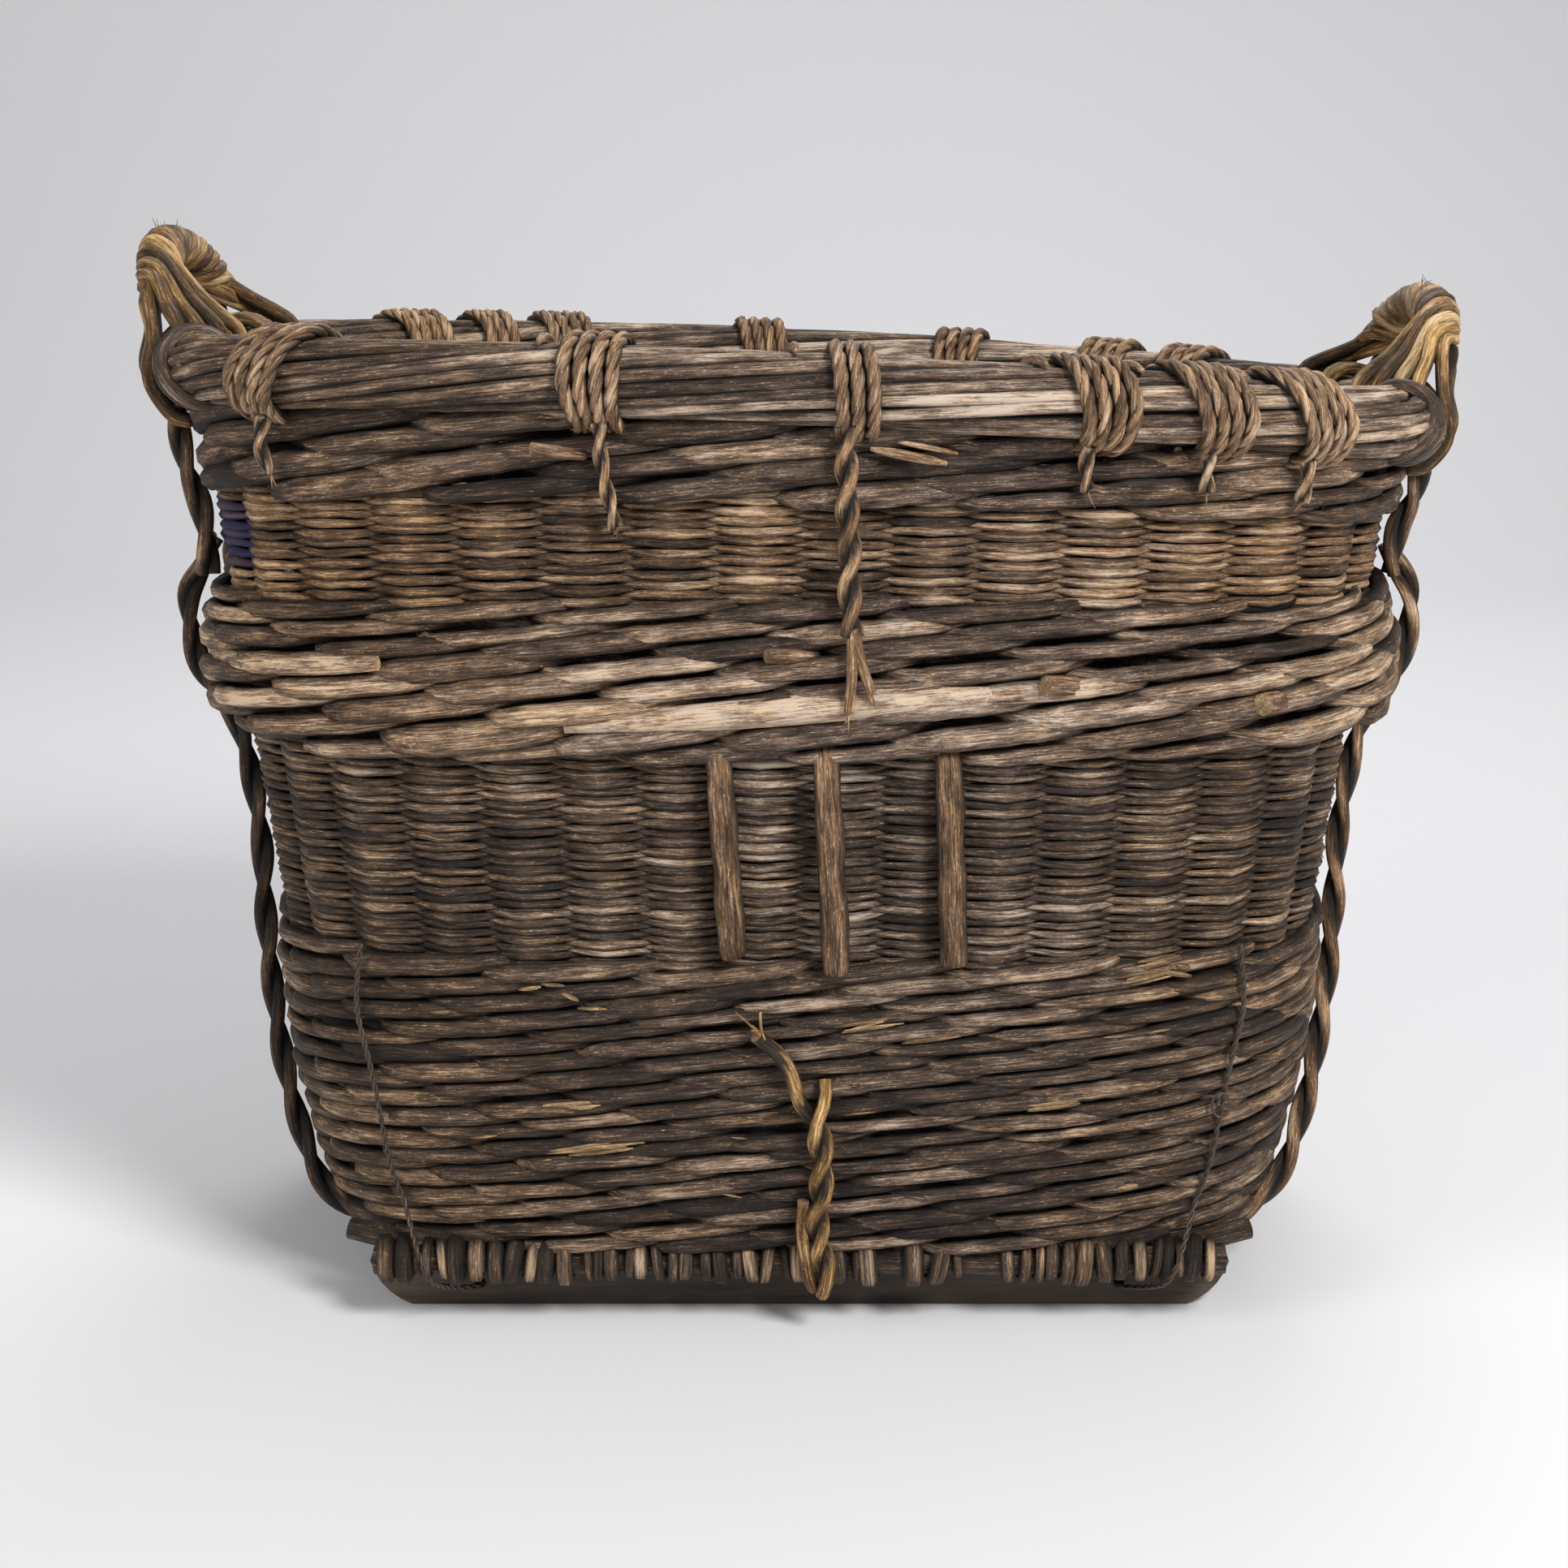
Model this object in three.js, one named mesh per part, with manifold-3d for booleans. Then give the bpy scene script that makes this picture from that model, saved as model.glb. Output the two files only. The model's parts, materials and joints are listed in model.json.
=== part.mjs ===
// Grape harvest basket: a flared oblong willow basket on two wooden runners, with two roped handles.
// Millimetres, +Z up. X runs from end to end, -Y is the front, the origin is on the floor at the middle.
import * as THREE from 'three';
import { mergeVertices } from 'three/addons/utils/BufferGeometryUtils.js';
import Module from 'manifold-3d';

const wasm = await Module();
wasm.setup();

// Gaps between pieces that touch on the real basket
const SEAT_GAP = 0.3;
const LASHING_CLEARANCE = 0.5;
const ROPE_CLEARANCE = 0.3;
const STICK_CLEARANCE = 0.9;

// Runners under the base
const RUNNER_LENGTH = 554;
const RUNNER_HEIGHT = 30;
const RUNNER_THICKNESS = 28;
const RUNNER_SPACING = 330;
const RUNNER_NOSE = 27;
const WIRE_HOLE_DIAMETER = 7;
const WIRE_HOLE_SPACING = 412;
const WIRE_HOLE_HEIGHT = 15;

// Woven base and the sticks in it
const BASE_LENGTH = 592;
const BASE_DEPTH = 386;
const BASE_THICKNESS = 25;
const BASE_STICK_DIAMETER = 15;
const BASE_STICK_SPACING = 62;
const BASE_STICK_COUNT = 5;
const BASE_STICK_PROUD = 6;
const EDGE_STICK_DIAMETER = 27;
const EDGE_STICK_LENGTH = 540;

// The line of the upright stakes, in the middle of the wall, at five heights
const PLAN_SQUARENESS = 4;
const FOOT_LENGTH = 594;
const FOOT_DEPTH = 412;
const SHOULDER_LENGTH = 656;
const SHOULDER_DEPTH = 466;
const WAIST_LENGTH = 692;
const WAIST_DEPTH = 486;
const NECK_LENGTH = 712;
const NECK_DEPTH = 496;
const RIM_LENGTH = 736;
const RIM_DEPTH = 504;

// Heights of the woven bands, from the base up
const LOWER_WALE_HEIGHT = 193;
const MIDDLE_WEAVE_HEIGHT = 133;
const MIDDLE_WALE_HEIGHT = 94;
const UPPER_WEAVE_HEIGHT = 50;
const UPPER_WALE_HEIGHT = 35;
const BORDER_HEIGHT = 43;
const BORDER_THICKNESS = 42;
const BORDER_OVERHANG = 11;

// How finely the smooth bands, the border and the base are drawn round the plan
const WALL_STATIONS = 72;
const BASE_STATIONS = 48;
const BORDER_SIDES = 8;

// How far each band stands out from the stake line, outside and inside, over a stake and between two
const STAKE_COUNT = 42;
const WEAVE_RIDGE = 12;
const WEAVE_VALLEY = 4;
const WALE_PROUD = 16;
const WALE_VALLEY = 11;
const INSIDE_PROUD = 12;
const INSIDE_VALLEY = 4;
const WALE_EDGE_PROUD = 21;
const BELLY_PROUD_ENDS = 35;
const BELLY_PROUD_SIDES = 28;

// The rim is out of true: it stands higher at the left and at the front
const RIM_DROP_TO_RIGHT = 36;
const RIM_DROP_TO_BACK = 42;
const END_DROOP = 10;

// Willow lashings round the border
const LASHING_ROD = 9.4;
const LASHING_PITCH = 10.5;
const NOTCH_ROOM = 9;
const FRONT_LASHINGS = [[-310, 4], [-117, 4], [28, 3], [168, 4], [236, 4], [294, 4]];
const BACK_LASHINGS = [[-284, 4], [-231, 3], [-175, 4], [-26, 4], [121, 4], [231, 4], [291, 4]];

// Handles at the two ends
const HANDLE_SPAN = 236;
const HANDLE_RISE = 66;
const HANDLE_DIAMETER = 29.5;
const HANDLE_FOOT_OUT = 18;
const HANDLE_TOP_OUT = 31;
const HANDLE_FULLNESS = 0.8;
const HANDLE_WRAP_ROD = 8.4;
const HANDLE_WRAP_PITCH = 9.2;
const HANDLE_WRAP_TURNS = 3;

// Twisted ropes down the ends, the upright sticks, the ties and the wires
const END_ROPE_DIAMETER = 18;
const UPPER_ROPE_Y = 118;
const LOWER_ROPE_TOP_Y = 80;
const LOWER_ROPE_FOOT_Y = 135;
const UPRIGHT_STICK_DIAMETER = 17;
const UPRIGHT_STICKS = [['left', -49, -41], ['centre', 15, 22], ['right', 88, 93]];
const TAIL_DIAMETER = 14;
const TAIL_X = 30;
const BASE_TIE_DIAMETER = 15;
const WIRE_DIAMETER = 3;

// The tie: its place between the two middle stakes, and how far up the lower wale it is, as shares
const TIE_ROUTE = [[-1, 0.79], [-0.52, 0.68], [0.08, 0.57], [0.53, 0.435], [0.57, 0.285], [0.5, 0.13]];
const TIE_FOOT = [[0.6, -0.026], [0.72, -0.109]];

// A wire: how far out it lies, as a share of its hole's place, and how far up the lower wale
const WIRE_ROUTE = [[1.31, 1.04], [1.33, 0.824], [1.291, 0.596], [1.252, 0.285], [1.214, 0.13]];

// Heights above the floor that follow from the sizes
const FOOT_Z = RUNNER_HEIGHT + BASE_THICKNESS;
const SHOULDER_Z = FOOT_Z + LOWER_WALE_HEIGHT;
const WAIST_Z = SHOULDER_Z + MIDDLE_WEAVE_HEIGHT;
const NECK_Z = WAIST_Z + MIDDLE_WALE_HEIGHT;
const COLLAR_Z = NECK_Z + UPPER_WEAVE_HEIGHT;
const RIM_Z = COLLAR_Z + UPPER_WALE_HEIGHT;
const BORDER_Z = RIM_Z + BORDER_HEIGHT / 2;
const BORDER_TOP_Z = RIM_Z + BORDER_HEIGHT;

// The stout sticks along the front and back of the base: half their width over the flats, and their face
const EDGE_STICK_REACH = (EDGE_STICK_DIAMETER / 2) * Math.cos(Math.PI / 8);
const EDGE_STICK_FACE = BASE_DEPTH / 2 + SEAT_GAP + 2 * EDGE_STICK_REACH;

const basket = new THREE.Group();

const willow = { color: 0x6e5a48, roughness: 0.85, metalness: 0 };
const darkWillow = { color: 0x4a3f36, roughness: 0.88, metalness: 0 };
const warmWillow = { color: 0x86694c, roughness: 0.82, metalness: 0 };
const paleWillow = { color: 0x96785a, roughness: 0.8, metalness: 0 };
const goldenWillow = { color: 0xa5793f, roughness: 0.75, metalness: 0 };
const runnerWood = { color: 0x3a302a, roughness: 0.9, metalness: 0 };
const iron = { color: 0x3c3c41, roughness: 0.6, metalness: 0.8 };

// Half length and half depth of the stake line at a height
function stakeLine(z) {
  if (z <= SHOULDER_Z) {
    const rise = THREE.MathUtils.clamp((z - FOOT_Z) / LOWER_WALE_HEIGHT, 0, 1);
    const flare = 1 - (1 - rise) ** 2;
    return [
      THREE.MathUtils.lerp(FOOT_LENGTH, SHOULDER_LENGTH, flare) / 2,
      THREE.MathUtils.lerp(FOOT_DEPTH, SHOULDER_DEPTH, flare) / 2,
    ];
  }
  const levels = [
    [SHOULDER_Z, SHOULDER_LENGTH, SHOULDER_DEPTH],
    [WAIST_Z, WAIST_LENGTH, WAIST_DEPTH],
    [NECK_Z, NECK_LENGTH, NECK_DEPTH],
    [RIM_Z, RIM_LENGTH, RIM_DEPTH],
  ];
  const above = Math.max(1, levels.findIndex((level) => z <= level[0]));
  const upper = z > RIM_Z ? levels[3] : levels[above];
  const lower = z > RIM_Z ? levels[2] : levels[above - 1];
  const share = Math.min((z - lower[0]) / (upper[0] - lower[0]), 1);
  return [
    THREE.MathUtils.lerp(lower[1], upper[1], share) / 2,
    THREE.MathUtils.lerp(lower[2], upper[2], share) / 2,
  ];
}

// A point on the rounded oblong plan, by angle
function planPoint(angle, halfLength, halfDepth) {
  const power = 2 / PLAN_SQUARENESS;
  const c = Math.cos(angle);
  const s = Math.sin(angle);
  return new THREE.Vector2(
    halfLength * Math.sign(c) * Math.abs(c) ** power,
    halfDepth * Math.sign(s) * Math.abs(s) ** power,
  );
}

// Angles that step round the plan in equal lengths
function planAngles(count) {
  const fine = 7200;
  const lengths = [0];
  let last = planPoint(0, RIM_LENGTH / 2, RIM_DEPTH / 2);
  for (let i = 1; i <= fine; i++) {
    const next = planPoint((2 * Math.PI * i) / fine, RIM_LENGTH / 2, RIM_DEPTH / 2);
    lengths.push(lengths[i - 1] + next.distanceTo(last));
    last = next;
  }
  const angles = [];
  let i = 0;
  for (let k = 0; k < count; k++) {
    const goal = (lengths[fine] * k) / count;
    while (lengths[i + 1] <= goal) {
      i += 1;
    }
    const share = (goal - lengths[i]) / (lengths[i + 1] - lengths[i]);
    angles.push((2 * Math.PI * (i + share)) / fine);
  }
  return angles;
}

// A point on the front or back wall, standing out from the stake line, at a distance along X
function sideWallPoint(x, z, proud, side) {
  const [halfLength, halfDepth] = stakeLine(z);
  const share = Math.abs(x) / (halfLength + proud);
  const y = (halfDepth + proud) * (1 - share ** PLAN_SQUARENESS) ** (1 / PLAN_SQUARENESS);
  return new THREE.Vector3(x, side * y, z);
}

// A point on an end wall, standing out from the stake line, at a distance along Y
function endWallPoint(y, z, proud, end) {
  const [halfLength, halfDepth] = stakeLine(z);
  const share = Math.abs(y) / (halfDepth + proud);
  const x = (halfLength + proud) * (1 - share ** PLAN_SQUARENESS) ** (1 / PLAN_SQUARENESS);
  return new THREE.Vector3(end * x, y, z);
}

// How far from the middle of the front the nearest stake stands, at a height
function middleStakeX(z) {
  const [halfLength, halfDepth] = stakeLine(z);
  const stakes = planAngles(STAKE_COUNT).map((angle) => planPoint(angle, halfLength, halfDepth));
  return Math.min(...stakes.map((stake) => Math.abs(stake.x)));
}

// How far the sagging rim moves a point up or down
function rimLift(x, y, z) {
  const tilt = THREE.MathUtils.clamp((z - NECK_Z) / (RIM_Z - NECK_Z), 0, 1);
  const droop = THREE.MathUtils.clamp((z - WAIST_Z) / (NECK_Z - WAIST_Z), 0, 1);
  const borderLength = RIM_LENGTH + 2 * BORDER_OVERHANG + BORDER_THICKNESS;
  const borderDepth = RIM_DEPTH + 2 * BORDER_OVERHANG + BORDER_THICKNESS;
  const slope = (RIM_DROP_TO_RIGHT * x) / borderLength + (RIM_DROP_TO_BACK * y) / borderDepth;
  return -tilt * slope - droop * END_DROOP * ((2 * x) / borderLength) ** 2;
}

// Gives a geometry the lopsided rim, then adds it as a named piece
function addPiece(name, geometry, finish) {
  const places = geometry.getAttribute('position');
  for (let i = 0; i < places.count; i++) {
    const x = places.getX(i);
    const y = places.getY(i);
    const z = places.getZ(i);
    places.setZ(i, z + rimLift(x, y, z));
  }
  geometry.deleteAttribute('normal');
  geometry.deleteAttribute('uv');
  geometry.computeVertexNormals();
  const piece = new THREE.Mesh(geometry, new THREE.MeshStandardMaterial(finish));
  piece.name = name;
  basket.add(piece);
}

// A closed geometry from points and triangles, turned so that its faces point out
function closedGeometry(points, triangles) {
  let volume = 0;
  const cross = new THREE.Vector3();
  for (const [a, b, c] of triangles) {
    volume += points[a].dot(cross.crossVectors(points[b], points[c]));
  }
  const facing = volume > 0 ? triangles : triangles.map(([a, b, c]) => [a, c, b]);
  const geometry = new THREE.BufferGeometry();
  const places = points.flatMap((point) => [point.x, point.y, point.z]);
  geometry.setAttribute('position', new THREE.Float32BufferAttribute(places, 3));
  geometry.setIndex(facing.flat());
  return geometry;
}

// Joins sections of equal count; around closes the sweep on itself, otherwise both ends are capped
function sweptSections(sections, around) {
  const sides = sections[0].length;
  const last = around ? sections.length : sections.length - 1;
  const triangles = [];
  for (let i = 0; i < last; i++) {
    const next = (i + 1) % sections.length;
    for (let j = 0; j < sides; j++) {
      const k = (j + 1) % sides;
      triangles.push([i * sides + j, i * sides + k, next * sides + k]);
      triangles.push([i * sides + j, next * sides + k, next * sides + j]);
    }
  }
  if (!around) {
    for (let j = 1; j < sides - 1; j++) {
      triangles.push([0, j + 1, j]);
      triangles.push([last * sides, last * sides + j, last * sides + j + 1]);
    }
  }
  return closedGeometry(sections.flat(), triangles);
}

// A band of the wall: its section is a list of [height, proud at the ends, proud at the sides, dip];
// the face dips towards the stake line halfway between two stakes
function bandGeometry(section, count) {
  const angles = planAngles(count);
  const rings = angles.map((angle, i) => section.map(([z, proudEnds, proudSides, dip = 0]) => {
    const [halfLength, halfDepth] = stakeLine(z);
    const dipped = i % 2 === 1 ? Math.sign(proudEnds) * dip : 0;
    const place = planPoint(angle, halfLength + proudEnds - dipped, halfDepth + proudSides - dipped);
    return new THREE.Vector3(place.x, place.y, z);
  }));
  return sweptSections(rings, true);
}

function polygonShape(radius, sides) {
  const corners = [];
  for (let i = 0; i < sides; i++) {
    const angle = (2 * Math.PI * (i + 0.5)) / sides;
    corners.push(new THREE.Vector2(radius * Math.cos(angle), radius * Math.sin(angle)));
  }
  return new THREE.Shape(corners);
}

function tubeGeometry(curve, diameter, steps, sides) {
  const shape = polygonShape(diameter / 2, sides);
  return new THREE.ExtrudeGeometry(shape, { extrudePath: curve, steps, bevelEnabled: false });
}

function straightStick(start, end, diameter, sides) {
  return tubeGeometry(new THREE.LineCurve3(start, end), diameter, 1, sides);
}

function toManifold(geometry) {
  geometry.deleteAttribute('normal');
  geometry.deleteAttribute('uv');
  const merged = mergeVertices(geometry);
  return new wasm.Manifold(new wasm.Mesh({
    numProp: 3,
    vertProperties: new Float32Array(merged.getAttribute('position').array),
    triVerts: new Uint32Array(merged.getIndex().array),
  }));
}

function cutAway(geometry, cutters) {
  let solid = toManifold(geometry);
  for (const cutter of cutters) {
    solid = solid.subtract(toManifold(cutter));
  }
  const mesh = solid.getMesh();
  const result = new THREE.BufferGeometry();
  result.setAttribute('position', new THREE.BufferAttribute(new Float32Array(mesh.vertProperties), 3));
  result.setIndex(new THREE.BufferAttribute(new Uint32Array(mesh.triVerts), 1));
  return result;
}

// Runners: boards on edge with swept-up noses and a wire hole near each nose
function addRunners() {
  const half = RUNNER_LENGTH / 2;
  for (const [place, side] of [['front', -1], ['back', 1]]) {
    const outline = new THREE.Shape();
    outline.moveTo(-half + RUNNER_NOSE, 0);
    outline.lineTo(half - RUNNER_NOSE, 0);
    outline.quadraticCurveTo(half - RUNNER_NOSE / 4, RUNNER_HEIGHT / 4, half, RUNNER_HEIGHT);
    outline.lineTo(-half, RUNNER_HEIGHT);
    outline.quadraticCurveTo(-half + RUNNER_NOSE / 4, RUNNER_HEIGHT / 4, -half + RUNNER_NOSE, 0);
    for (const end of [-1, 1]) {
      const hole = new THREE.Path();
      hole.absarc((end * WIRE_HOLE_SPACING) / 2, WIRE_HOLE_HEIGHT, WIRE_HOLE_DIAMETER / 2, 0, 2 * Math.PI);
      outline.holes.push(hole);
    }
    const settings = { depth: RUNNER_THICKNESS, bevelEnabled: false, curveSegments: 5 };
    const board = new THREE.ExtrudeGeometry(outline, settings);
    board.rotateX(Math.PI / 2);
    board.translate(0, (side * RUNNER_SPACING) / 2 + RUNNER_THICKNESS / 2, 0);
    addPiece(`runner_${place}`, board, runnerWood);
  }
}

// Woven base plate, bored for the sticks that run through it from end to end
function addBase() {
  const plateBottom = RUNNER_HEIGHT + SEAT_GAP;
  const plateHeight = BASE_THICKNESS - SEAT_GAP;
  const middle = plateBottom + plateHeight / 2;
  const angles = planAngles(BASE_STATIONS);
  const outline = new THREE.Shape(angles.map((angle) => planPoint(angle, BASE_LENGTH / 2, BASE_DEPTH / 2)));
  const plate = new THREE.ExtrudeGeometry(outline, { depth: plateHeight, bevelEnabled: false });
  plate.translate(0, 0, plateBottom);
  const bores = [];
  for (let i = 0; i < BASE_STICK_COUNT; i++) {
    const y = (i - (BASE_STICK_COUNT - 1) / 2) * BASE_STICK_SPACING;
    const share = Math.abs(2 * y) / BASE_DEPTH;
    const plateReach = (BASE_LENGTH / 2) * (1 - share ** PLAN_SQUARENESS) ** (1 / PLAN_SQUARENESS);
    const reach = plateReach + BASE_STICK_PROUD;
    const start = new THREE.Vector3(-reach, y, middle);
    const end = new THREE.Vector3(reach, y, middle);
    bores.push(straightStick(start, end, BASE_STICK_DIAMETER + 2 * SEAT_GAP, 8));
    addPiece(`base_stick_${i + 1}`, straightStick(start, end, BASE_STICK_DIAMETER, 8), runnerWood);
  }
  addPiece('base_weave', cutAway(plate, bores), darkWillow);
  const edgeMiddle = FOOT_Z - SEAT_GAP - EDGE_STICK_REACH;
  for (const [place, side] of [['front', -1], ['back', 1]]) {
    const y = side * (EDGE_STICK_FACE - EDGE_STICK_REACH);
    const start = new THREE.Vector3(-EDGE_STICK_LENGTH / 2, y, edgeMiddle);
    const end = new THREE.Vector3(EDGE_STICK_LENGTH / 2, y, edgeMiddle);
    addPiece(`base_edge_stick_${place}`, straightStick(start, end, EDGE_STICK_DIAMETER, 8), darkWillow);
  }
}

// The five woven bands of the wall, each resting on the one below
function addWall() {
  const stakesAndGaps = 2 * STAKE_COUNT;
  const inside = (z) => [z, -INSIDE_PROUD, -INSIDE_PROUD, INSIDE_PROUD - INSIDE_VALLEY];
  const lowerStart = FOOT_Z + SEAT_GAP;
  const lowerRises = [0, 0.12, 0.26, 0.42, 0.6, 0.79, 1];
  const lowerHeights = lowerRises.map((rise) => THREE.MathUtils.lerp(lowerStart, SHOULDER_Z, rise));
  const lowerSection = [
    ...lowerHeights.map((z) => [z, WALE_PROUD, WALE_PROUD, WALE_PROUD - WALE_VALLEY]),
    ...lowerHeights.toReversed().map(inside),
  ];
  addPiece('lower_wale', bandGeometry(lowerSection, stakesAndGaps), darkWillow);

  const weave = (z) => [z, WEAVE_RIDGE, WEAVE_RIDGE, WEAVE_RIDGE - WEAVE_VALLEY];
  const middleStart = SHOULDER_Z + SEAT_GAP;
  const middleSection = [weave(middleStart), weave(WAIST_Z), inside(WAIST_Z), inside(middleStart)];
  addPiece('middle_weave', bandGeometry(middleSection, stakesAndGaps), willow);

  const waleStart = WAIST_Z + SEAT_GAP;
  const bellyShape = [[0, 0], [0.17, 0.75], [0.47, 1], [0.78, 0.6], [1, 0]];
  const waleSection = [
    ...bellyShape.map(([rise, fullness]) => [
      THREE.MathUtils.lerp(waleStart, NECK_Z, rise),
      THREE.MathUtils.lerp(WALE_EDGE_PROUD, BELLY_PROUD_ENDS, fullness),
      THREE.MathUtils.lerp(WALE_EDGE_PROUD, BELLY_PROUD_SIDES, fullness),
    ]),
    inside(NECK_Z),
    inside(waleStart),
  ];
  addPiece('middle_wale', bandGeometry(waleSection, stakesAndGaps), willow);

  const upperStart = NECK_Z + SEAT_GAP;
  const upperSection = [weave(upperStart), weave(COLLAR_Z), inside(COLLAR_Z), inside(upperStart)];
  addPiece('upper_weave', bandGeometry(upperSection, stakesAndGaps), warmWillow);

  const collarSection = [
    [COLLAR_Z + SEAT_GAP, WALE_PROUD, WALE_PROUD],
    [RIM_Z, WALE_PROUD, WALE_PROUD],
    [RIM_Z, -INSIDE_PROUD, -INSIDE_PROUD],
    [COLLAR_Z + SEAT_GAP, -INSIDE_PROUD, -INSIDE_PROUD],
  ];
  addPiece('upper_wale', cutAway(bandGeometry(collarSection, WALL_STATIONS), lashingNotches()), willow);
}

// The border roll is swept round the rim on these angles, and the lashings follow the same flats
const borderAngles = planAngles(WALL_STATIONS);

function borderPoint(station, out, up) {
  const whole = Math.floor(station);
  const ends = [whole, whole + 1].map((i) => {
    const angle = borderAngles[(i + WALL_STATIONS) % WALL_STATIONS];
    const halfLength = RIM_LENGTH / 2 + BORDER_OVERHANG + out;
    const halfDepth = RIM_DEPTH / 2 + BORDER_OVERHANG + out;
    const place = planPoint(angle, halfLength, halfDepth);
    return new THREE.Vector3(place.x, place.y, BORDER_Z + up);
  });
  return ends[0].lerp(ends[1], station - whole);
}

function borderCorner(k, reach) {
  const angle = (2 * Math.PI * (k + 0.5)) / BORDER_SIDES;
  const flat = Math.cos(Math.PI / BORDER_SIDES);
  return [
    ((BORDER_THICKNESS / 2 + reach) * Math.cos(angle)) / flat,
    ((BORDER_HEIGHT / 2 - SEAT_GAP + reach) * Math.sin(angle)) / flat,
  ];
}

// The station of the border that lies at a given X on the front or back, or at a given Y on an end
function borderStationNear(target) {
  let best = 0;
  let least = Infinity;
  for (let i = 0; i < WALL_STATIONS * 40; i++) {
    const place = borderPoint(i / 40, 0, 0);
    const miss = target(place);
    if (miss < least) {
      least = miss;
      best = i / 40;
    }
  }
  return best;
}

function sideStation(x, side) {
  return borderStationNear((place) => Math.abs(place.x - x) + (Math.sign(place.y) === side ? 0 : RIM_LENGTH));
}

function endStation(y, end) {
  return borderStationNear((place) => Math.abs(place.y - y) + (Math.sign(place.x) === end ? 0 : RIM_LENGTH));
}

// The border roll, or the same roll grown by a clearance
function borderGeometry(clearance) {
  const rings = [];
  for (let i = 0; i < WALL_STATIONS; i++) {
    const ring = [];
    for (let k = 0; k < BORDER_SIDES; k++) {
      ring.push(borderPoint(i, ...borderCorner(k, clearance)));
    }
    rings.push(ring);
  }
  return sweptSections(rings, true);
}

function addBorder() {
  addPiece('rim_border', borderGeometry(0), willow);
}

// Every winding on the border: its name, place, rod, pitch and turns
function borderWindings() {
  const windings = [];
  for (const [place, side, lashings] of [['front', -1, FRONT_LASHINGS], ['back', 1, BACK_LASHINGS]]) {
    lashings.forEach(([x, turns], i) => {
      windings.push({
        name: `rim_lashing_${place}_${i + 1}`,
        station: sideStation(x, side),
        rod: LASHING_ROD,
        pitch: LASHING_PITCH,
        turns,
        finish: paleWillow,
      });
    });
  }
  const besideFoot = endStation(HANDLE_SPAN / 2 - HANDLE_DIAMETER, 1);
  const fannedPitch = HANDLE_WRAP_PITCH * fanOut(besideFoot, HANDLE_WRAP_ROD);
  const wrapWidth = HANDLE_WRAP_TURNS * fannedPitch + HANDLE_WRAP_ROD;
  const wrapY = (HANDLE_SPAN - HANDLE_DIAMETER - wrapWidth) / 2 - HANDLE_WRAP_ROD;
  for (const [endName, end] of [['left', -1], ['right', 1]]) {
    for (const [sideName, side] of [['front', -1], ['back', 1]]) {
      windings.push({
        name: `handle_wrap_${endName}_${sideName}`,
        station: endStation(side * wrapY, end),
        rod: HANDLE_WRAP_ROD,
        pitch: HANDLE_WRAP_PITCH,
        turns: HANDLE_WRAP_TURNS,
        finish: goldenWillow,
      });
    }
  }
  return windings;
}

// Length of one station step, measured a given reach outside or inside the middle of the border
function stepLength(station, out) {
  return borderPoint(station + 0.5, out, 0).distanceTo(borderPoint(station - 0.5, out, 0));
}

// How much wider the turns stand outside the border than inside it, round a corner
function fanOut(station, rod) {
  const reach = BORDER_THICKNESS / 2 + rod;
  return stepLength(station, reach) / stepLength(station, -reach);
}

// The turns fan out round a corner, so their pitch is set on the inside of the border
function windingPath({ station, rod, pitch, turns }) {
  const path = [];
  const first = BORDER_SIDES / 2;
  const pitchInStations = pitch / stepLength(station, -BORDER_THICKNESS / 2 - rod);
  for (let k = 0; k <= turns * BORDER_SIDES; k++) {
    const along = (k / BORDER_SIDES - turns / 2) * pitchInStations;
    const [out, up] = borderCorner(first + k, rod / 2 + LASHING_CLEARANCE);
    path.push(borderPoint(station + along, out, up));
  }
  return path;
}

// The least gap between one turn and the next, measured on points along the rod
function leastSelfGap(path, rod) {
  const dense = [];
  for (let i = 0; i + 1 < path.length; i++) {
    for (let j = 0; j < 6; j++) {
      dense.push(path[i].clone().lerp(path[i + 1], j / 6));
    }
  }
  let least = Infinity;
  for (let i = 0; i < dense.length; i++) {
    for (let j = i + 3 * BORDER_SIDES; j < dense.length; j++) {
      least = Math.min(least, dense[i].distanceTo(dense[j]));
    }
  }
  return least - rod;
}

function addWindings() {
  const sides = 5;
  let least = Infinity;
  for (const winding of borderWindings()) {
    const path = windingPath(winding);
    least = Math.min(least, leastSelfGap(path, winding.rod));
    const rings = path.map((place, i) => {
      const before = path[Math.max(i - 1, 0)];
      const after = path[Math.min(i + 1, path.length - 1)];
      const along = after.clone().sub(before).normalize();
      const outward = new THREE.Vector3(place.x, place.y, 0).normalize();
      const across = new THREE.Vector3(-outward.y, outward.x, 0);
      const flatAcross = across.clone().addScaledVector(along, -across.dot(along)).normalize();
      const third = new THREE.Vector3().crossVectors(along, flatAcross);
      const ring = [];
      for (let j = 0; j < sides; j++) {
        const angle = (2 * Math.PI * j) / sides;
        ring.push(place.clone()
          .addScaledVector(flatAcross, (winding.rod / 2) * Math.cos(angle))
          .addScaledVector(third, (winding.rod / 2) * Math.sin(angle)));
      }
      return ring;
    });
    addPiece(winding.name, sweptSections(rings, false), winding.finish);
  }
  console.log(`least gap between turns of a winding: ${least.toFixed(2)} mm`);
}

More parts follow.
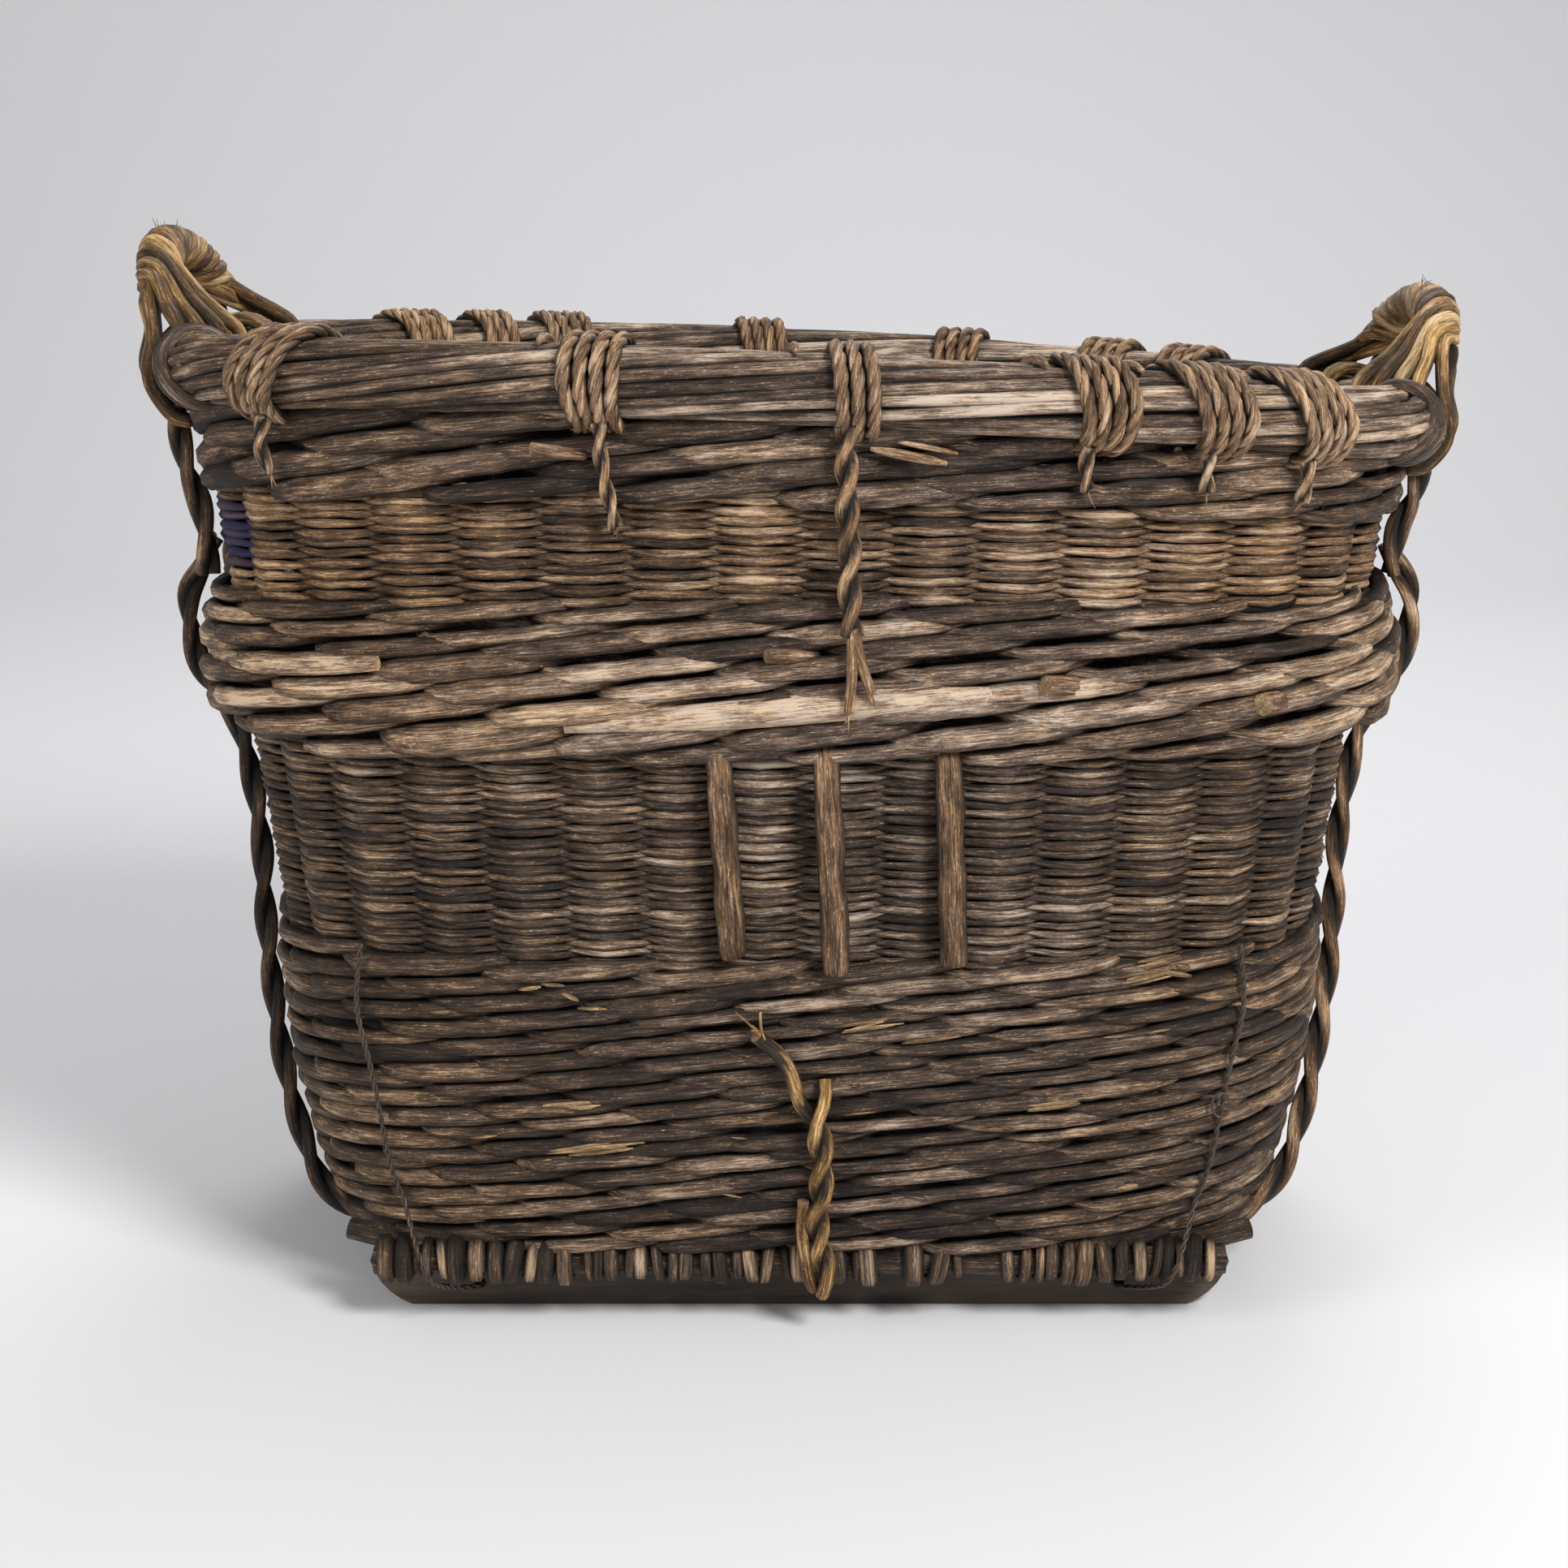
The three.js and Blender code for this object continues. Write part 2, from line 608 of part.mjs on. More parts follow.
// Room under the border for each winding to pass through the top of the wall
function lashingNotches() {
  return borderWindings().map(({ station, rod, pitch, turns }) => {
    const width = turns * pitch * fanOut(station, rod) + rod + NOTCH_ROOM;
    const depth = rod + 2 * LASHING_CLEARANCE + 1;
    const box = new THREE.BoxGeometry(width, 3 * BORDER_THICKNESS, 2 * depth);
    const place = borderPoint(station, 0, 0);
    const ahead = borderPoint(station + 0.5, 0, 0).sub(borderPoint(station - 0.5, 0, 0));
    box.rotateZ(Math.atan2(ahead.y, ahead.x));
    box.translate(place.x, place.y, RIM_Z);
    return box;
  });
}

// A handle bow: it rises straight up the outside of the border at each foot and leans out at its top
class HandleBow extends THREE.Curve {
  constructor(end) {
    super();
    this.end = end;
    this.foot = borderPoint(endStation(HANDLE_SPAN / 2, end), 0, 0);
  }

  getPoint(t, target = new THREE.Vector3()) {
    const turn = Math.PI * t;
    const rise = HANDLE_RISE - HANDLE_DIAMETER / 2;
    const footX = Math.abs(this.foot.x) + HANDLE_FOOT_OUT;
    const topX = RIM_LENGTH / 2 + BORDER_OVERHANG + HANDLE_TOP_OUT;
    const x = THREE.MathUtils.lerp(footX, topX, Math.sin(turn) ** 2);
    const height = THREE.MathUtils.lerp(BORDER_Z, BORDER_TOP_Z + rise, Math.sin(turn) ** HANDLE_FULLNESS);
    return target.set(this.end * x, (-HANDLE_SPAN / 2) * Math.cos(turn), height);
  }
}

// The feet of the bows are cut to the roll, so that they sit over its outer shoulder
function addHandles() {
  for (const [name, end] of [['left', -1], ['right', 1]]) {
    const bow = tubeGeometry(new HandleBow(end), HANDLE_DIAMETER, 22, 8);
    addPiece(`handle_${name}`, cutAway(bow, [borderGeometry(SEAT_GAP)]), goldenWillow);
  }
}

// Twisted ropes on the ends: one across the recess under the border, one over the wales to the base
function addEndRopes() {
  const half = END_ROPE_DIAMETER / 2 + ROPE_CLEARANCE;
  const onWale = WALE_PROUD + half;
  const onWeave = WEAVE_RIDGE + half;
  const onBelly = BELLY_PROUD_ENDS + half;
  const upperRoute = [
    [RIM_Z - 2, onWale],
    [RIM_Z - 12, onWale],
    [COLLAR_Z, onWale],
    [COLLAR_Z - 0.36 * UPPER_WEAVE_HEIGHT, onWeave + 2],
    [COLLAR_Z - 0.68 * UPPER_WEAVE_HEIGHT, onWeave],
    [NECK_Z + 2 * SEAT_GAP, onWeave],
  ];
  const lowerRoute = [
    [NECK_Z + 12, onWeave + 2],
    [NECK_Z + 1, onWeave + 10],
    [NECK_Z - 0.21 * MIDDLE_WALE_HEIGHT, onBelly - 2],
    [NECK_Z - 0.53 * MIDDLE_WALE_HEIGHT, onBelly - 0.4],
    [WAIST_Z + 12, onBelly - 3.6],
    [WAIST_Z - 12, onWeave + 6],
    [WAIST_Z - 0.38 * MIDDLE_WEAVE_HEIGHT, onWeave + 1],
    [SHOULDER_Z + 0.3 * MIDDLE_WEAVE_HEIGHT, onWeave + 2],
    [SHOULDER_Z + 8, onWale + 3],
    [SHOULDER_Z - 14, onWale + 2],
    [FOOT_Z + 0.69 * LOWER_WALE_HEIGHT, onWale + 1],
    [FOOT_Z + 0.43 * LOWER_WALE_HEIGHT, onWale + 1],
    [FOOT_Z + 0.23 * LOWER_WALE_HEIGHT, onWale + 1],
    [FOOT_Z + 15, onWale + 1],
    [FOOT_Z - 8, onWale],
  ];
  const lowerRopeY = (z) => {
    const drift = THREE.MathUtils.clamp((SHOULDER_Z - z) / LOWER_WALE_HEIGHT, 0, 1) ** 2;
    return THREE.MathUtils.lerp(LOWER_ROPE_TOP_Y, LOWER_ROPE_FOOT_Y, drift);
  };
  const routes = [['upper', upperRoute, () => UPPER_ROPE_Y, 8], ['lower', lowerRoute, lowerRopeY, 22]];
  for (const [level, route, ropeY, steps] of routes) {
    for (const [endName, end] of [['left', -1], ['right', 1]]) {
      for (const [sideName, side] of [['front', -1], ['back', 1]]) {
        const points = route.map(([z, proud]) => endWallPoint(side * ropeY(z), z, proud, end));
        const rope = tubeGeometry(new THREE.CatmullRomCurve3(points), END_ROPE_DIAMETER, steps, 8);
        addPiece(`end_rope_${level}_${endName}_${sideName}`, rope, warmWillow);
      }
    }
  }
}

// Upright sticks that stand in front of the middle weave, held between the two wales
function addUprightSticks() {
  const proud = WEAVE_RIDGE + UPRIGHT_STICK_DIAMETER / 2 + ROPE_CLEARANCE;
  for (const [name, topX, footX] of UPRIGHT_STICKS) {
    const foot = sideWallPoint(footX, SHOULDER_Z + STICK_CLEARANCE, proud, -1);
    const top = sideWallPoint(topX, WAIST_Z + SEAT_GAP - STICK_CLEARANCE, proud, -1);
    addPiece(`upright_stick_${name}`, straightStick(foot, top, UPRIGHT_STICK_DIAMETER, 8), warmWillow);
  }
}

// The long tail that hangs from the middle lashing, and the tie that holds the base to the wall
function addTies() {
  const tailHalf = TAIL_DIAMETER / 2 + ROPE_CLEARANCE;
  const tailRoute = [
    [TAIL_X - 4, RIM_Z - LASHING_ROD - 4, WALE_PROUD + tailHalf + 1],
    [TAIL_X - 4, COLLAR_Z - 4, WALE_PROUD + tailHalf],
    [TAIL_X - 2, COLLAR_Z - 0.52 * UPPER_WEAVE_HEIGHT, WALE_PROUD + tailHalf - 1],
    [TAIL_X - 2, COLLAR_Z - 0.84 * UPPER_WEAVE_HEIGHT, WALE_EDGE_PROUD + tailHalf],
    [TAIL_X, NECK_Z - 0.21 * MIDDLE_WALE_HEIGHT, BELLY_PROUD_SIDES + tailHalf],
    [TAIL_X + 3, NECK_Z - 0.47 * MIDDLE_WALE_HEIGHT, BELLY_PROUD_SIDES + tailHalf],
  ];
  const tail = new THREE.CatmullRomCurve3(tailRoute.map(([x, z, proud]) => sideWallPoint(x, z, proud, -1)));
  addPiece('lashing_tail_long', tubeGeometry(tail, TAIL_DIAMETER, 12, 8), goldenWillow);

  const tieHalf = BASE_TIE_DIAMETER / 2 + ROPE_CLEARANCE;
  const tiePoints = [...TIE_ROUTE, ...TIE_FOOT].map(([across, rise]) => {
    const z = FOOT_Z + rise * LOWER_WALE_HEIGHT;
    return sideWallPoint(across * middleStakeX(z), z, WALE_PROUD + tieHalf, -1);
  });
  for (const point of tiePoints.slice(-TIE_FOOT.length - 1)) {
    point.y = Math.min(point.y, -EDGE_STICK_FACE - tieHalf);
  }
  const tie = new THREE.CatmullRomCurve3(tiePoints);
  addPiece('base_tie', tubeGeometry(tie, BASE_TIE_DIAMETER, 14, 8), goldenWillow);
}

// Iron wires from the top of the lower wale down to the holes in the runners
function addWires() {
  const proud = WALE_PROUD + WIRE_DIAMETER / 2 + ROPE_CLEARANCE;
  const holeX = WIRE_HOLE_SPACING / 2;
  const runnerFace = RUNNER_SPACING / 2 + RUNNER_THICKNESS / 2;
  const runnerLip = holeX + WIRE_HOLE_HEIGHT;
  const onEdge = BASE_DEPTH / 2 + EDGE_STICK_DIAMETER + SEAT_GAP + WIRE_DIAMETER / 2 + 4 * ROPE_CLEARANCE;
  for (const [endName, end] of [['left', -1], ['right', 1]]) {
    for (const [sideName, side] of [['front', -1], ['back', 1]]) {
      const points = WIRE_ROUTE.map(([out, rise]) => {
        return sideWallPoint(end * out * holeX, FOOT_Z + rise * LOWER_WALE_HEIGHT, proud, side);
      });
      points.push(new THREE.Vector3(end * (runnerLip + 19), side * onEdge, FOOT_Z - 2));
      points.push(new THREE.Vector3(end * (runnerLip + 11), side * onEdge, RUNNER_HEIGHT + 4));
      points.push(new THREE.Vector3(end * runnerLip, side * (runnerFace + 20), WIRE_HOLE_HEIGHT + 5));
      points.push(new THREE.Vector3(end * holeX, side * (runnerFace + 5), WIRE_HOLE_HEIGHT));
      points.push(new THREE.Vector3(end * holeX, side * (runnerFace - 6), WIRE_HOLE_HEIGHT));
      const wire = tubeGeometry(new THREE.CatmullRomCurve3(points), WIRE_DIAMETER, 22, 6);
      addPiece(`runner_wire_${endName}_${sideName}`, wire, iron);
    }
  }
}

addRunners();
addBase();
addWall();
addBorder();
addWindings();
addHandles();
addEndRopes();
addUprightSticks();
addTies();
addWires();

export default basket;
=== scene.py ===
"""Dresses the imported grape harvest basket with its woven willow, ties, runners and wire."""

import json
import math

import bmesh
import bpy
import numpy as np
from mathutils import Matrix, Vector

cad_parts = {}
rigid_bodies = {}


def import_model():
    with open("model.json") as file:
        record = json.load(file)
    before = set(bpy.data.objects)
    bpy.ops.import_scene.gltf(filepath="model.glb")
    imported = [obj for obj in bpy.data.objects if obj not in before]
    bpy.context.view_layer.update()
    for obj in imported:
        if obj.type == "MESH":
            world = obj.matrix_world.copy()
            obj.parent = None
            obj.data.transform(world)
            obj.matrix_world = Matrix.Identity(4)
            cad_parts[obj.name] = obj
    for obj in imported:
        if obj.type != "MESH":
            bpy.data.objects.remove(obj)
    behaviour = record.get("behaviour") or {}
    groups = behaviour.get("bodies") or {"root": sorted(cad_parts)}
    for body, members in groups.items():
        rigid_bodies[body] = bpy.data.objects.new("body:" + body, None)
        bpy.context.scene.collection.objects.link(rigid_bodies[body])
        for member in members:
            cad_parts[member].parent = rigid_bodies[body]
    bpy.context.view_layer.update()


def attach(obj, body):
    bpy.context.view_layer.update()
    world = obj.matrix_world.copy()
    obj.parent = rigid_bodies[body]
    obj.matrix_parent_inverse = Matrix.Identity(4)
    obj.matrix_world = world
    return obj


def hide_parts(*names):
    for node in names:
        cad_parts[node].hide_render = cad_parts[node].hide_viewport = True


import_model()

# Sizes and places are the part's own, in millimetres; pieces are made in metres
MM = 0.001
RUNNER_HEIGHT = 30.0
BASE_THICKNESS = 25.0
BASE_LENGTH = 592.0
BASE_DEPTH = 386.0
FOOT = (594.0, 412.0)
SHOULDER = (656.0, 466.0)
WAIST = (692.0, 486.0)
NECK = (712.0, 496.0)
RIM = (736.0, 504.0)
FOOT_Z = RUNNER_HEIGHT + BASE_THICKNESS
SHOULDER_Z = FOOT_Z + 193.0
WAIST_Z = SHOULDER_Z + 133.0
NECK_Z = WAIST_Z + 94.0
COLLAR_Z = NECK_Z + 50.0
RIM_Z = COLLAR_Z + 35.0
BORDER_HEIGHT = 43.0
BORDER_THICKNESS = 42.0
BORDER_OVERHANG = 11.0
BORDER_Z = RIM_Z + BORDER_HEIGHT / 2
BASE_STICK_SPACING = 62.0
EDGE_STICK_Y = BASE_DEPTH / 2 + 12.5
EDGE_STICK_Z = FOOT_Z - 13.5
HANDLE_SPAN = 236.0
HANDLE_RISE = 66.0
HANDLE_THICKNESS = 29.5
HANDLE_STRANDS = 7
HANDLE_LAY = 92.0
HANDLE_RING = 10.4
LASHING_PITCH = 8.6
STAKES = 42
SQUARENESS = 4.0

# Where the lashings stand along X, and how many turns each has
FRONT_LASHINGS = [(-310, 4), (-117, 4), (28, 3), (168, 4), (236, 4), (294, 4)]
BACK_LASHINGS = [(-284, 4), (-231, 3), (-175, 4), (-26, 4), (121, 4), (231, 4), (291, 4)]
SIDES = (("front", -1), ("back", 1))
ENDS = (("left", -1), ("right", 1))

# Points along a rod for each stake that it passes
PER_STAKE = 6

rng = np.random.default_rng(11)


# The wall: a rounded oblong that flares, with a rim out of true


def lerp(a, b, t):
    return a + (b - a) * t


def stake_line(z):
    """Half length and half depth of the line of stakes at the heights z."""
    z = np.asarray(z, float)
    rise = np.clip((z - FOOT_Z) / (SHOULDER_Z - FOOT_Z), 0, 1)
    flare = 1 - (1 - rise) ** 2
    heights = [SHOULDER_Z, WAIST_Z, NECK_Z, RIM_Z]
    halves = []
    for i in (0, 1):
        lower = lerp(FOOT[i], SHOULDER[i], flare)
        upper = np.interp(z, heights, [SHOULDER[i], WAIST[i], NECK[i], RIM[i]])
        halves.append(np.where(z <= SHOULDER_Z, lower, upper) / 2)
    return halves


def plan_table():
    """The plan in equal lengths round the rim, as shares of its half length and half depth."""
    turn = np.linspace(0, 2 * np.pi, 7201)
    c, s = np.cos(turn), np.sin(turn)
    a, b = RIM[0] / 2, RIM[1] / 2
    reach = ((np.abs(c) / a) ** SQUARENESS + (np.abs(s) / b) ** SQUARENESS) ** (-1 / SQUARENESS)
    x, y = reach * c, reach * s
    lengths = np.r_[0, np.cumsum(np.hypot(np.diff(x), np.diff(y)))]
    return lengths, x / a, y / b


PLAN_LENGTHS, PLAN_U, PLAN_V = plan_table()


def plan(s):
    """Shares of half length and half depth at s, counted in stakes from the right end."""
    along = (np.asarray(s, float) / STAKES % 1) * PLAN_LENGTHS[-1]
    return np.interp(along, PLAN_LENGTHS, PLAN_U), np.interp(along, PLAN_LENGTHS, PLAN_V)


def rim_lift(x, y, z):
    tilt = np.clip((z - NECK_Z) / (RIM_Z - NECK_Z), 0, 1)
    droop = np.clip((z - WAIST_Z) / (NECK_Z - WAIST_Z), 0, 1)
    length = RIM[0] + 2 * BORDER_OVERHANG + BORDER_THICKNESS
    depth = RIM[1] + 2 * BORDER_OVERHANG + BORDER_THICKNESS
    return -tilt * (36 * x / length + 42 * y / depth) - droop * 10 * (2 * x / length) ** 2


def lifted(points):
    points = np.array(points, float)
    points[:, 2] += rim_lift(points[:, 0], points[:, 1], points[:, 2])
    return points


def wall(s, z, out, swell=0.0):
    """Points on the wall, out from the stake line and by swell further out at the ends."""
    u, v = plan(s)
    a, b = stake_line(z)
    return lifted(np.c_[(a + out + swell) * u, (b + out) * v, z + 0 * u])


def unit(rows):
    return rows / np.linalg.norm(rows, axis=1)[:, None]


def outward(s):
    u, v = plan(s)
    return unit(np.c_[np.sign(u) * np.abs(u) ** 3 / RIM[0], np.sign(v) * np.abs(v) ** 3 / RIM[1], 0 * u])


def beside(place, along, across):
    """How far out the oblong is at a place along it, from its two halves."""
    return float(across * (1 - (abs(place) / along) ** SQUARENESS) ** (1 / SQUARENESS))


def side_point(x, z, proud, side):
    """A point on the front or back wall at a distance along X."""
    a, b = stake_line(z)
    return [x, side * beside(x, a + proud, b + proud), z]


def end_point(y, z, proud, end):
    """A point on an end wall at a distance along Y."""
    a, b = stake_line(z)
    return [end * beside(y, b + proud, a + proud), y, z]


def stake_at(place, side, axis=0):
    """Where a distance along X or Y lies on one side of the rim, counted in stakes."""
    s = np.linspace(0, STAKES, 8401)
    shares = plan(s)
    miss = np.abs(shares[axis] * (RIM[axis] / 2 + BORDER_OVERHANG) - place)
    return float(s[np.argmin(miss + np.where(np.sign(shares[1 - axis]) == side, 0, 1e4))])


def stretch(s, z):
    """How far the tilt of the rim draws the wall out in height at s, round the height z."""
    return (wall(s, z + 2, 0)[:, 2] - wall(s, z - 2, 0)[:, 2]) / 4


def border_point(s, out, up):
    """Points round the border roll, from its middle line."""
    return wall(s, BORDER_Z + np.asarray(up, float), BORDER_OVERHANG + np.asarray(out, float))


def round_border(s, angle, proud_out, proud_up):
    """Points outside the border roll, at angles that start from straight out."""
    out = (BORDER_THICKNESS / 2 + proud_out) * np.cos(angle)
    return border_point(s, out, (BORDER_HEIGHT / 2 + proud_up) * np.sin(angle))


# Rods


def smooth_path(points, step):
    """A smooth curve through the points, with a point every step."""
    points = np.array(points, float)
    ends = np.vstack([2 * points[0] - points[1], points, 2 * points[-1] - points[-2]])
    fine = []
    for i in range(len(points) - 1):
        p0, p1, p2, p3 = ends[i : i + 4]
        square, cube = 2 * p0 - 5 * p1 + 4 * p2 - p3, 3 * p1 - p0 - 3 * p2 + p3
        for t in np.linspace(0, 1, 12, endpoint=False):
            fine.append(0.5 * (2 * p1 + (p2 - p0) * t + square * t**2 + cube * t**3))
    fine.append(points[-1])
    return even_steps(np.array(fine), step)


def lengths_along(points):
    return np.r_[0, np.cumsum(np.linalg.norm(np.diff(points, axis=0), axis=1))]


def even_steps(points, step):
    run = lengths_along(points)
    count = max(2, int(round(run[-1] / step)) + 1)
    at = np.linspace(0, run[-1], count)
    return np.c_[tuple(np.interp(at, run, points[:, i]) for i in range(3))]


def sections(points):
    """Two directions square to a path at each point, carried along without twist."""
    ahead = unit(np.gradient(points, axis=0))
    first = np.cross(ahead[0], [0.0, 0.0, 1.0])
    if np.linalg.norm(first) < 0.2:
        first = np.cross(ahead[0], [0.0, 1.0, 0.0])
    across = [first / np.linalg.norm(first)]
    for direction in ahead[1:]:
        carried = across[-1] - direction * np.dot(across[-1], direction)
        across.append(carried / np.linalg.norm(carried))
    across = np.array(across)
    return across, np.cross(ahead, across)


def at_angle(across, beyond, angle):
    return across * np.cos(angle)[:, None] + beyond * np.sin(angle)[:, None]


def rod(points, radius, tone=0.5, warmth=0.3, dirt_and_shade=0.2, ease=1.0, facing=None, paint=0.0):
    """A willow rod: its line and thickness, how pale and how ochre it is, and how dark with dirt and
    painted shade.
    """
    values = {"radius": radius, "tone": tone, "warmth": warmth, "dirt_and_shade": dirt_and_shade, "ease": ease, "paint": paint}
    made = {key: np.broadcast_to(np.asarray(value, float), len(points)) for key, value in values.items()}
    return {"points": np.asarray(points, float), "facing": facing, **made}


def new_object(name, data):
    made = bpy.data.objects.new(name, data)
    bpy.context.scene.collection.objects.link(made)
    return made


def rod_piece(name, rods, finishes, sides=6):
    """One piece of round rods, with the grain and the looks of each rod kept as attributes."""
    curve = bpy.data.curves.new(name, "CURVE")
    curve.dimensions = "3D"
    curve.bevel_depth = 1.0
    curve.bevel_resolution = sides // 2 - 2
    curve.use_fill_caps = True
    curve.twist_mode = "MINIMUM"
    for one in rods:
        count = len(one["points"])
        spline = curve.splines.new("POLY")
        spline.points.add(count - 1)
        spline.points.foreach_set("co", np.c_[one["points"] * MM, np.ones(count)].ravel())
        spline.points.foreach_set("radius", one["radius"] * MM)
    source = new_object(name, curve)
    graph = bpy.context.evaluated_depsgraph_get()
    mesh = bpy.data.meshes.new_from_object(source.evaluated_get(graph))
    bpy.data.objects.remove(source)
    bpy.data.curves.remove(curve)
    piece = new_object(name, mesh)

    # Blender puts the cut ends first, from the last rod to the first, then the rods in order
    capped = 2 * sides * len(rods)
    total = len(mesh.vertices)
    places = np.empty(total * 3)
    mesh.vertices.foreach_get("co", places)
    places = places.reshape(-1, 3) / MM
    grain = np.empty((total, 3))
    looks = np.empty((total, 3))
    paint = np.zeros(total)
    start = capped
    for i, one in enumerate(rods):
        count = len(one["points"])
        stop = start + count * sides
        run = np.repeat(lengths_along(one["points"]), sides)
        centre = np.repeat(one["points"], sides, axis=0)
        radius = np.repeat(one["radius"], sides)
        around = np.tile(np.arange(sides) * 2 * np.pi / sides, count)
        shift = rng.uniform(0, 900)
        grain[start:stop] = np.c_[run + shift, radius * np.cos(around), radius * np.sin(around)] / 10
        dirt_and_shade = np.repeat(one["dirt_and_shade"], sides)
        tone = np.repeat(one["tone"], sides)
        # Painted shade and painted highlight: where a rod has a facing, its flanks and the side turned from
        # where its stroke swings are darkened, and the crest turned the way the stroke swings is made paler
        if one["facing"] is not None:
            side = ((places[start:stop] - centre) * np.repeat(one["facing"], sides, axis=0)).sum(axis=1)
            turned = np.clip(side / radius, -1, 1)
            ease = np.repeat(one["ease"], sides)
            painted_light_share = np.clip(0.8 + 0.9 * ease * np.sign(turned), 0, 1) * np.abs(turned)
            dirt_and_shade = dirt_and_shade + np.clip((0.76 - painted_light_share) / 0.6, 0, 1)
            tone = tone + 0.2 * np.clip(np.abs(turned) - 0.3, 0, 1) * np.clip(ease * turned, 0, 1)
        looks[start:stop] = np.c_[tone, np.repeat(one["warmth"], sides), dirt_and_shade]
        paint[start:stop] = np.repeat(one["paint"], sides)
        cap = capped - 2 * sides * (i + 1)
        for values in (grain, looks):
            values[cap : cap + sides] = values[stop - sides : stop]
            values[cap + sides : cap + 2 * sides] = values[start : start + sides]
        start = stop
    for attribute, values in (("grain", grain), ("looks", looks)):
        layer = mesh.attributes.new(attribute, "FLOAT_VECTOR", "POINT")
        layer.data.foreach_set("vector", values.ravel())
    if paint.any():
        mesh.attributes.new("paint", "FLOAT", "POINT").data.foreach_set("value", paint)

    for finish in finishes:
        mesh.materials.append(finish)
    corners = np.empty(len(mesh.polygons), int)
    mesh.polygons.foreach_get("loop_total", corners)
    mesh.polygons.foreach_set("use_smooth", corners == 4)
    if len(finishes) > 1:
        mesh.polygons.foreach_set("material_index", (corners != 4).astype(int))
    closed = bmesh.new()
    closed.from_mesh(mesh)
    bmesh.ops.remove_doubles(closed, verts=closed.verts, dist=1e-6)
    closed.to_mesh(mesh)
    closed.free()
    return piece


def placed(piece, slot, *nodes):
    """Fixes a piece to the basket, in place of its plain solids."""
    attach(piece, "root")
    if nodes:
        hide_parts(*nodes)


def laid(name, rods, slot, *nodes, sides=6, cut=None):
    """Makes one piece of rods in the willow of its slot, and fixes it to the basket."""
    finishes = [WILLOWS[slot], cut_wood if cut is None else cut]
    placed(rod_piece(name, rods, finishes, sides), slot, *nodes)


def weather(s, z):
    """Slow changes of tone and warmth over the wall, greyer in one place and browner in another."""
    s = np.asarray(s)
    turn = 2 * np.pi * s / STAKES
    tone = 0.06 * np.sin(3 * turn + z / 55 + 1.0) + 0.05 * np.sin(8 * turn - z / 31)
    tone = tone + 0.04 * np.sin(13 * turn + z / 17)
    warmth = 0.2 * np.cos(2 * turn + 0.3) + 0.12 * np.sin(7 * turn + z / 40)
    silvered = np.exp(-(((s % STAKES - 33.2) / 1.9) ** 2))
    browned = np.exp(-(((s % STAKES - 25.0) / 3.6) ** 2))
    return tone + 0.04 * silvered - 0.045 * browned, warmth - 0.45 * silvered + 0.45 * browned


def per_stroke(s, offset, period, amount):
    """A chance value for each stroke of a rod that passes in front every so many stakes."""
    stroke = np.floor((s - offset + 0.5) / period).astype(int)
    return rng.normal(0, amount, stroke.max() - stroke.min() + 1)[stroke - stroke.min()]


def drift(s, amount):
    """A slow, closed waver round the wall."""
    total = np.zeros_like(s)
    for k in (1, 2, 3):
        total += np.sin(2 * np.pi * k * rng.integers(1, 5) * s / STAKES + rng.uniform(0, 2 * np.pi)) / k
    return total * amount


def ripple(x, amount):
    """A waver along a rod that starts anywhere."""
    return amount * np.sin(x + rng.uniform(0, 6))


def tapered(count):
    """Thicker at one end of a rod than at the other."""
    return np.linspace(1.1, 0.9, count) if rng.random() < 0.5 else np.linspace(0.9, 1.1, count)


def twisted(path, strands, strand_radius, ring, lay, tone, warmth, dirt_and_shade=0.15, turn=0.0, facing=None):
    """Strands laid up into a rope along a path."""
    across, beyond = sections(path)
    run = lengths_along(path)
    made = []
    for j in range(strands):
        angle = turn + 2 * np.pi * (j / strands + run / lay)
        offset = at_angle(across, beyond, angle)
        wobble = 1 + ripple(run / 17, 0.06)
        paleness = tone + rng.normal(0, 0.1)
        ochre = np.clip(warmth + rng.normal(0, 0.12), 0, 1)
        # Painted shade: unless a facing is given, each strand is darkened on the side that turns into the
        # rope
        away = offset if facing is None else facing
        made.append(rod(path + offset * ring, strand_radius * wobble, paleness, ochre, dirt_and_shade, facing=away))
    return made


# Materials


def make_finish(name):
    finish = bpy.data.materials.new(name)
    finish.use_nodes = True
    tree = finish.node_tree
    return finish, tree, tree.nodes["Principled BSDF"]


def feed(tree, made, inputs):
    """Links sockets to the inputs of a node, and sets the others to their values."""
    for key, value in inputs.items():
        if isinstance(value, bpy.types.NodeSocket):
            tree.links.new(value, made.inputs[key])
        else:
            made.inputs[key].default_value = value


def node(tree, kind, inputs=None, **settings):
    made = tree.nodes.new(kind)
    for key, value in settings.items():
        setattr(made, key, value)
    feed(tree, made, inputs or {})
    return made


def maths(tree, operation, a, b=0.0, clamp=False):
    return node(tree, "ShaderNodeMath", {0: a, 1: b}, operation=operation, use_clamp=clamp).outputs[0]


def above(tree, value, level, gain, clamp=True):
    """How far a value is above a level, times a gain."""
    return maths(tree, "MULTIPLY", maths(tree, "SUBTRACT", value, level), gain, clamp)


def noise(tree, vector, scale, detail, roughness):
    inputs = {"Vector": vector, "Scale": scale, "Detail": detail, "Roughness": roughness}
    return node(tree, "ShaderNodeTexNoise", inputs).outputs["Fac"]


def streaks(tree, vector, scale, detail, roughness):
    """Noise drawn out along a rod or board."""
    drawn = node(tree, "ShaderNodeVectorMath", {0: vector, 1: scale}, operation="MULTIPLY").outputs[0]
    return noise(tree, drawn, 1.0, detail, roughness)


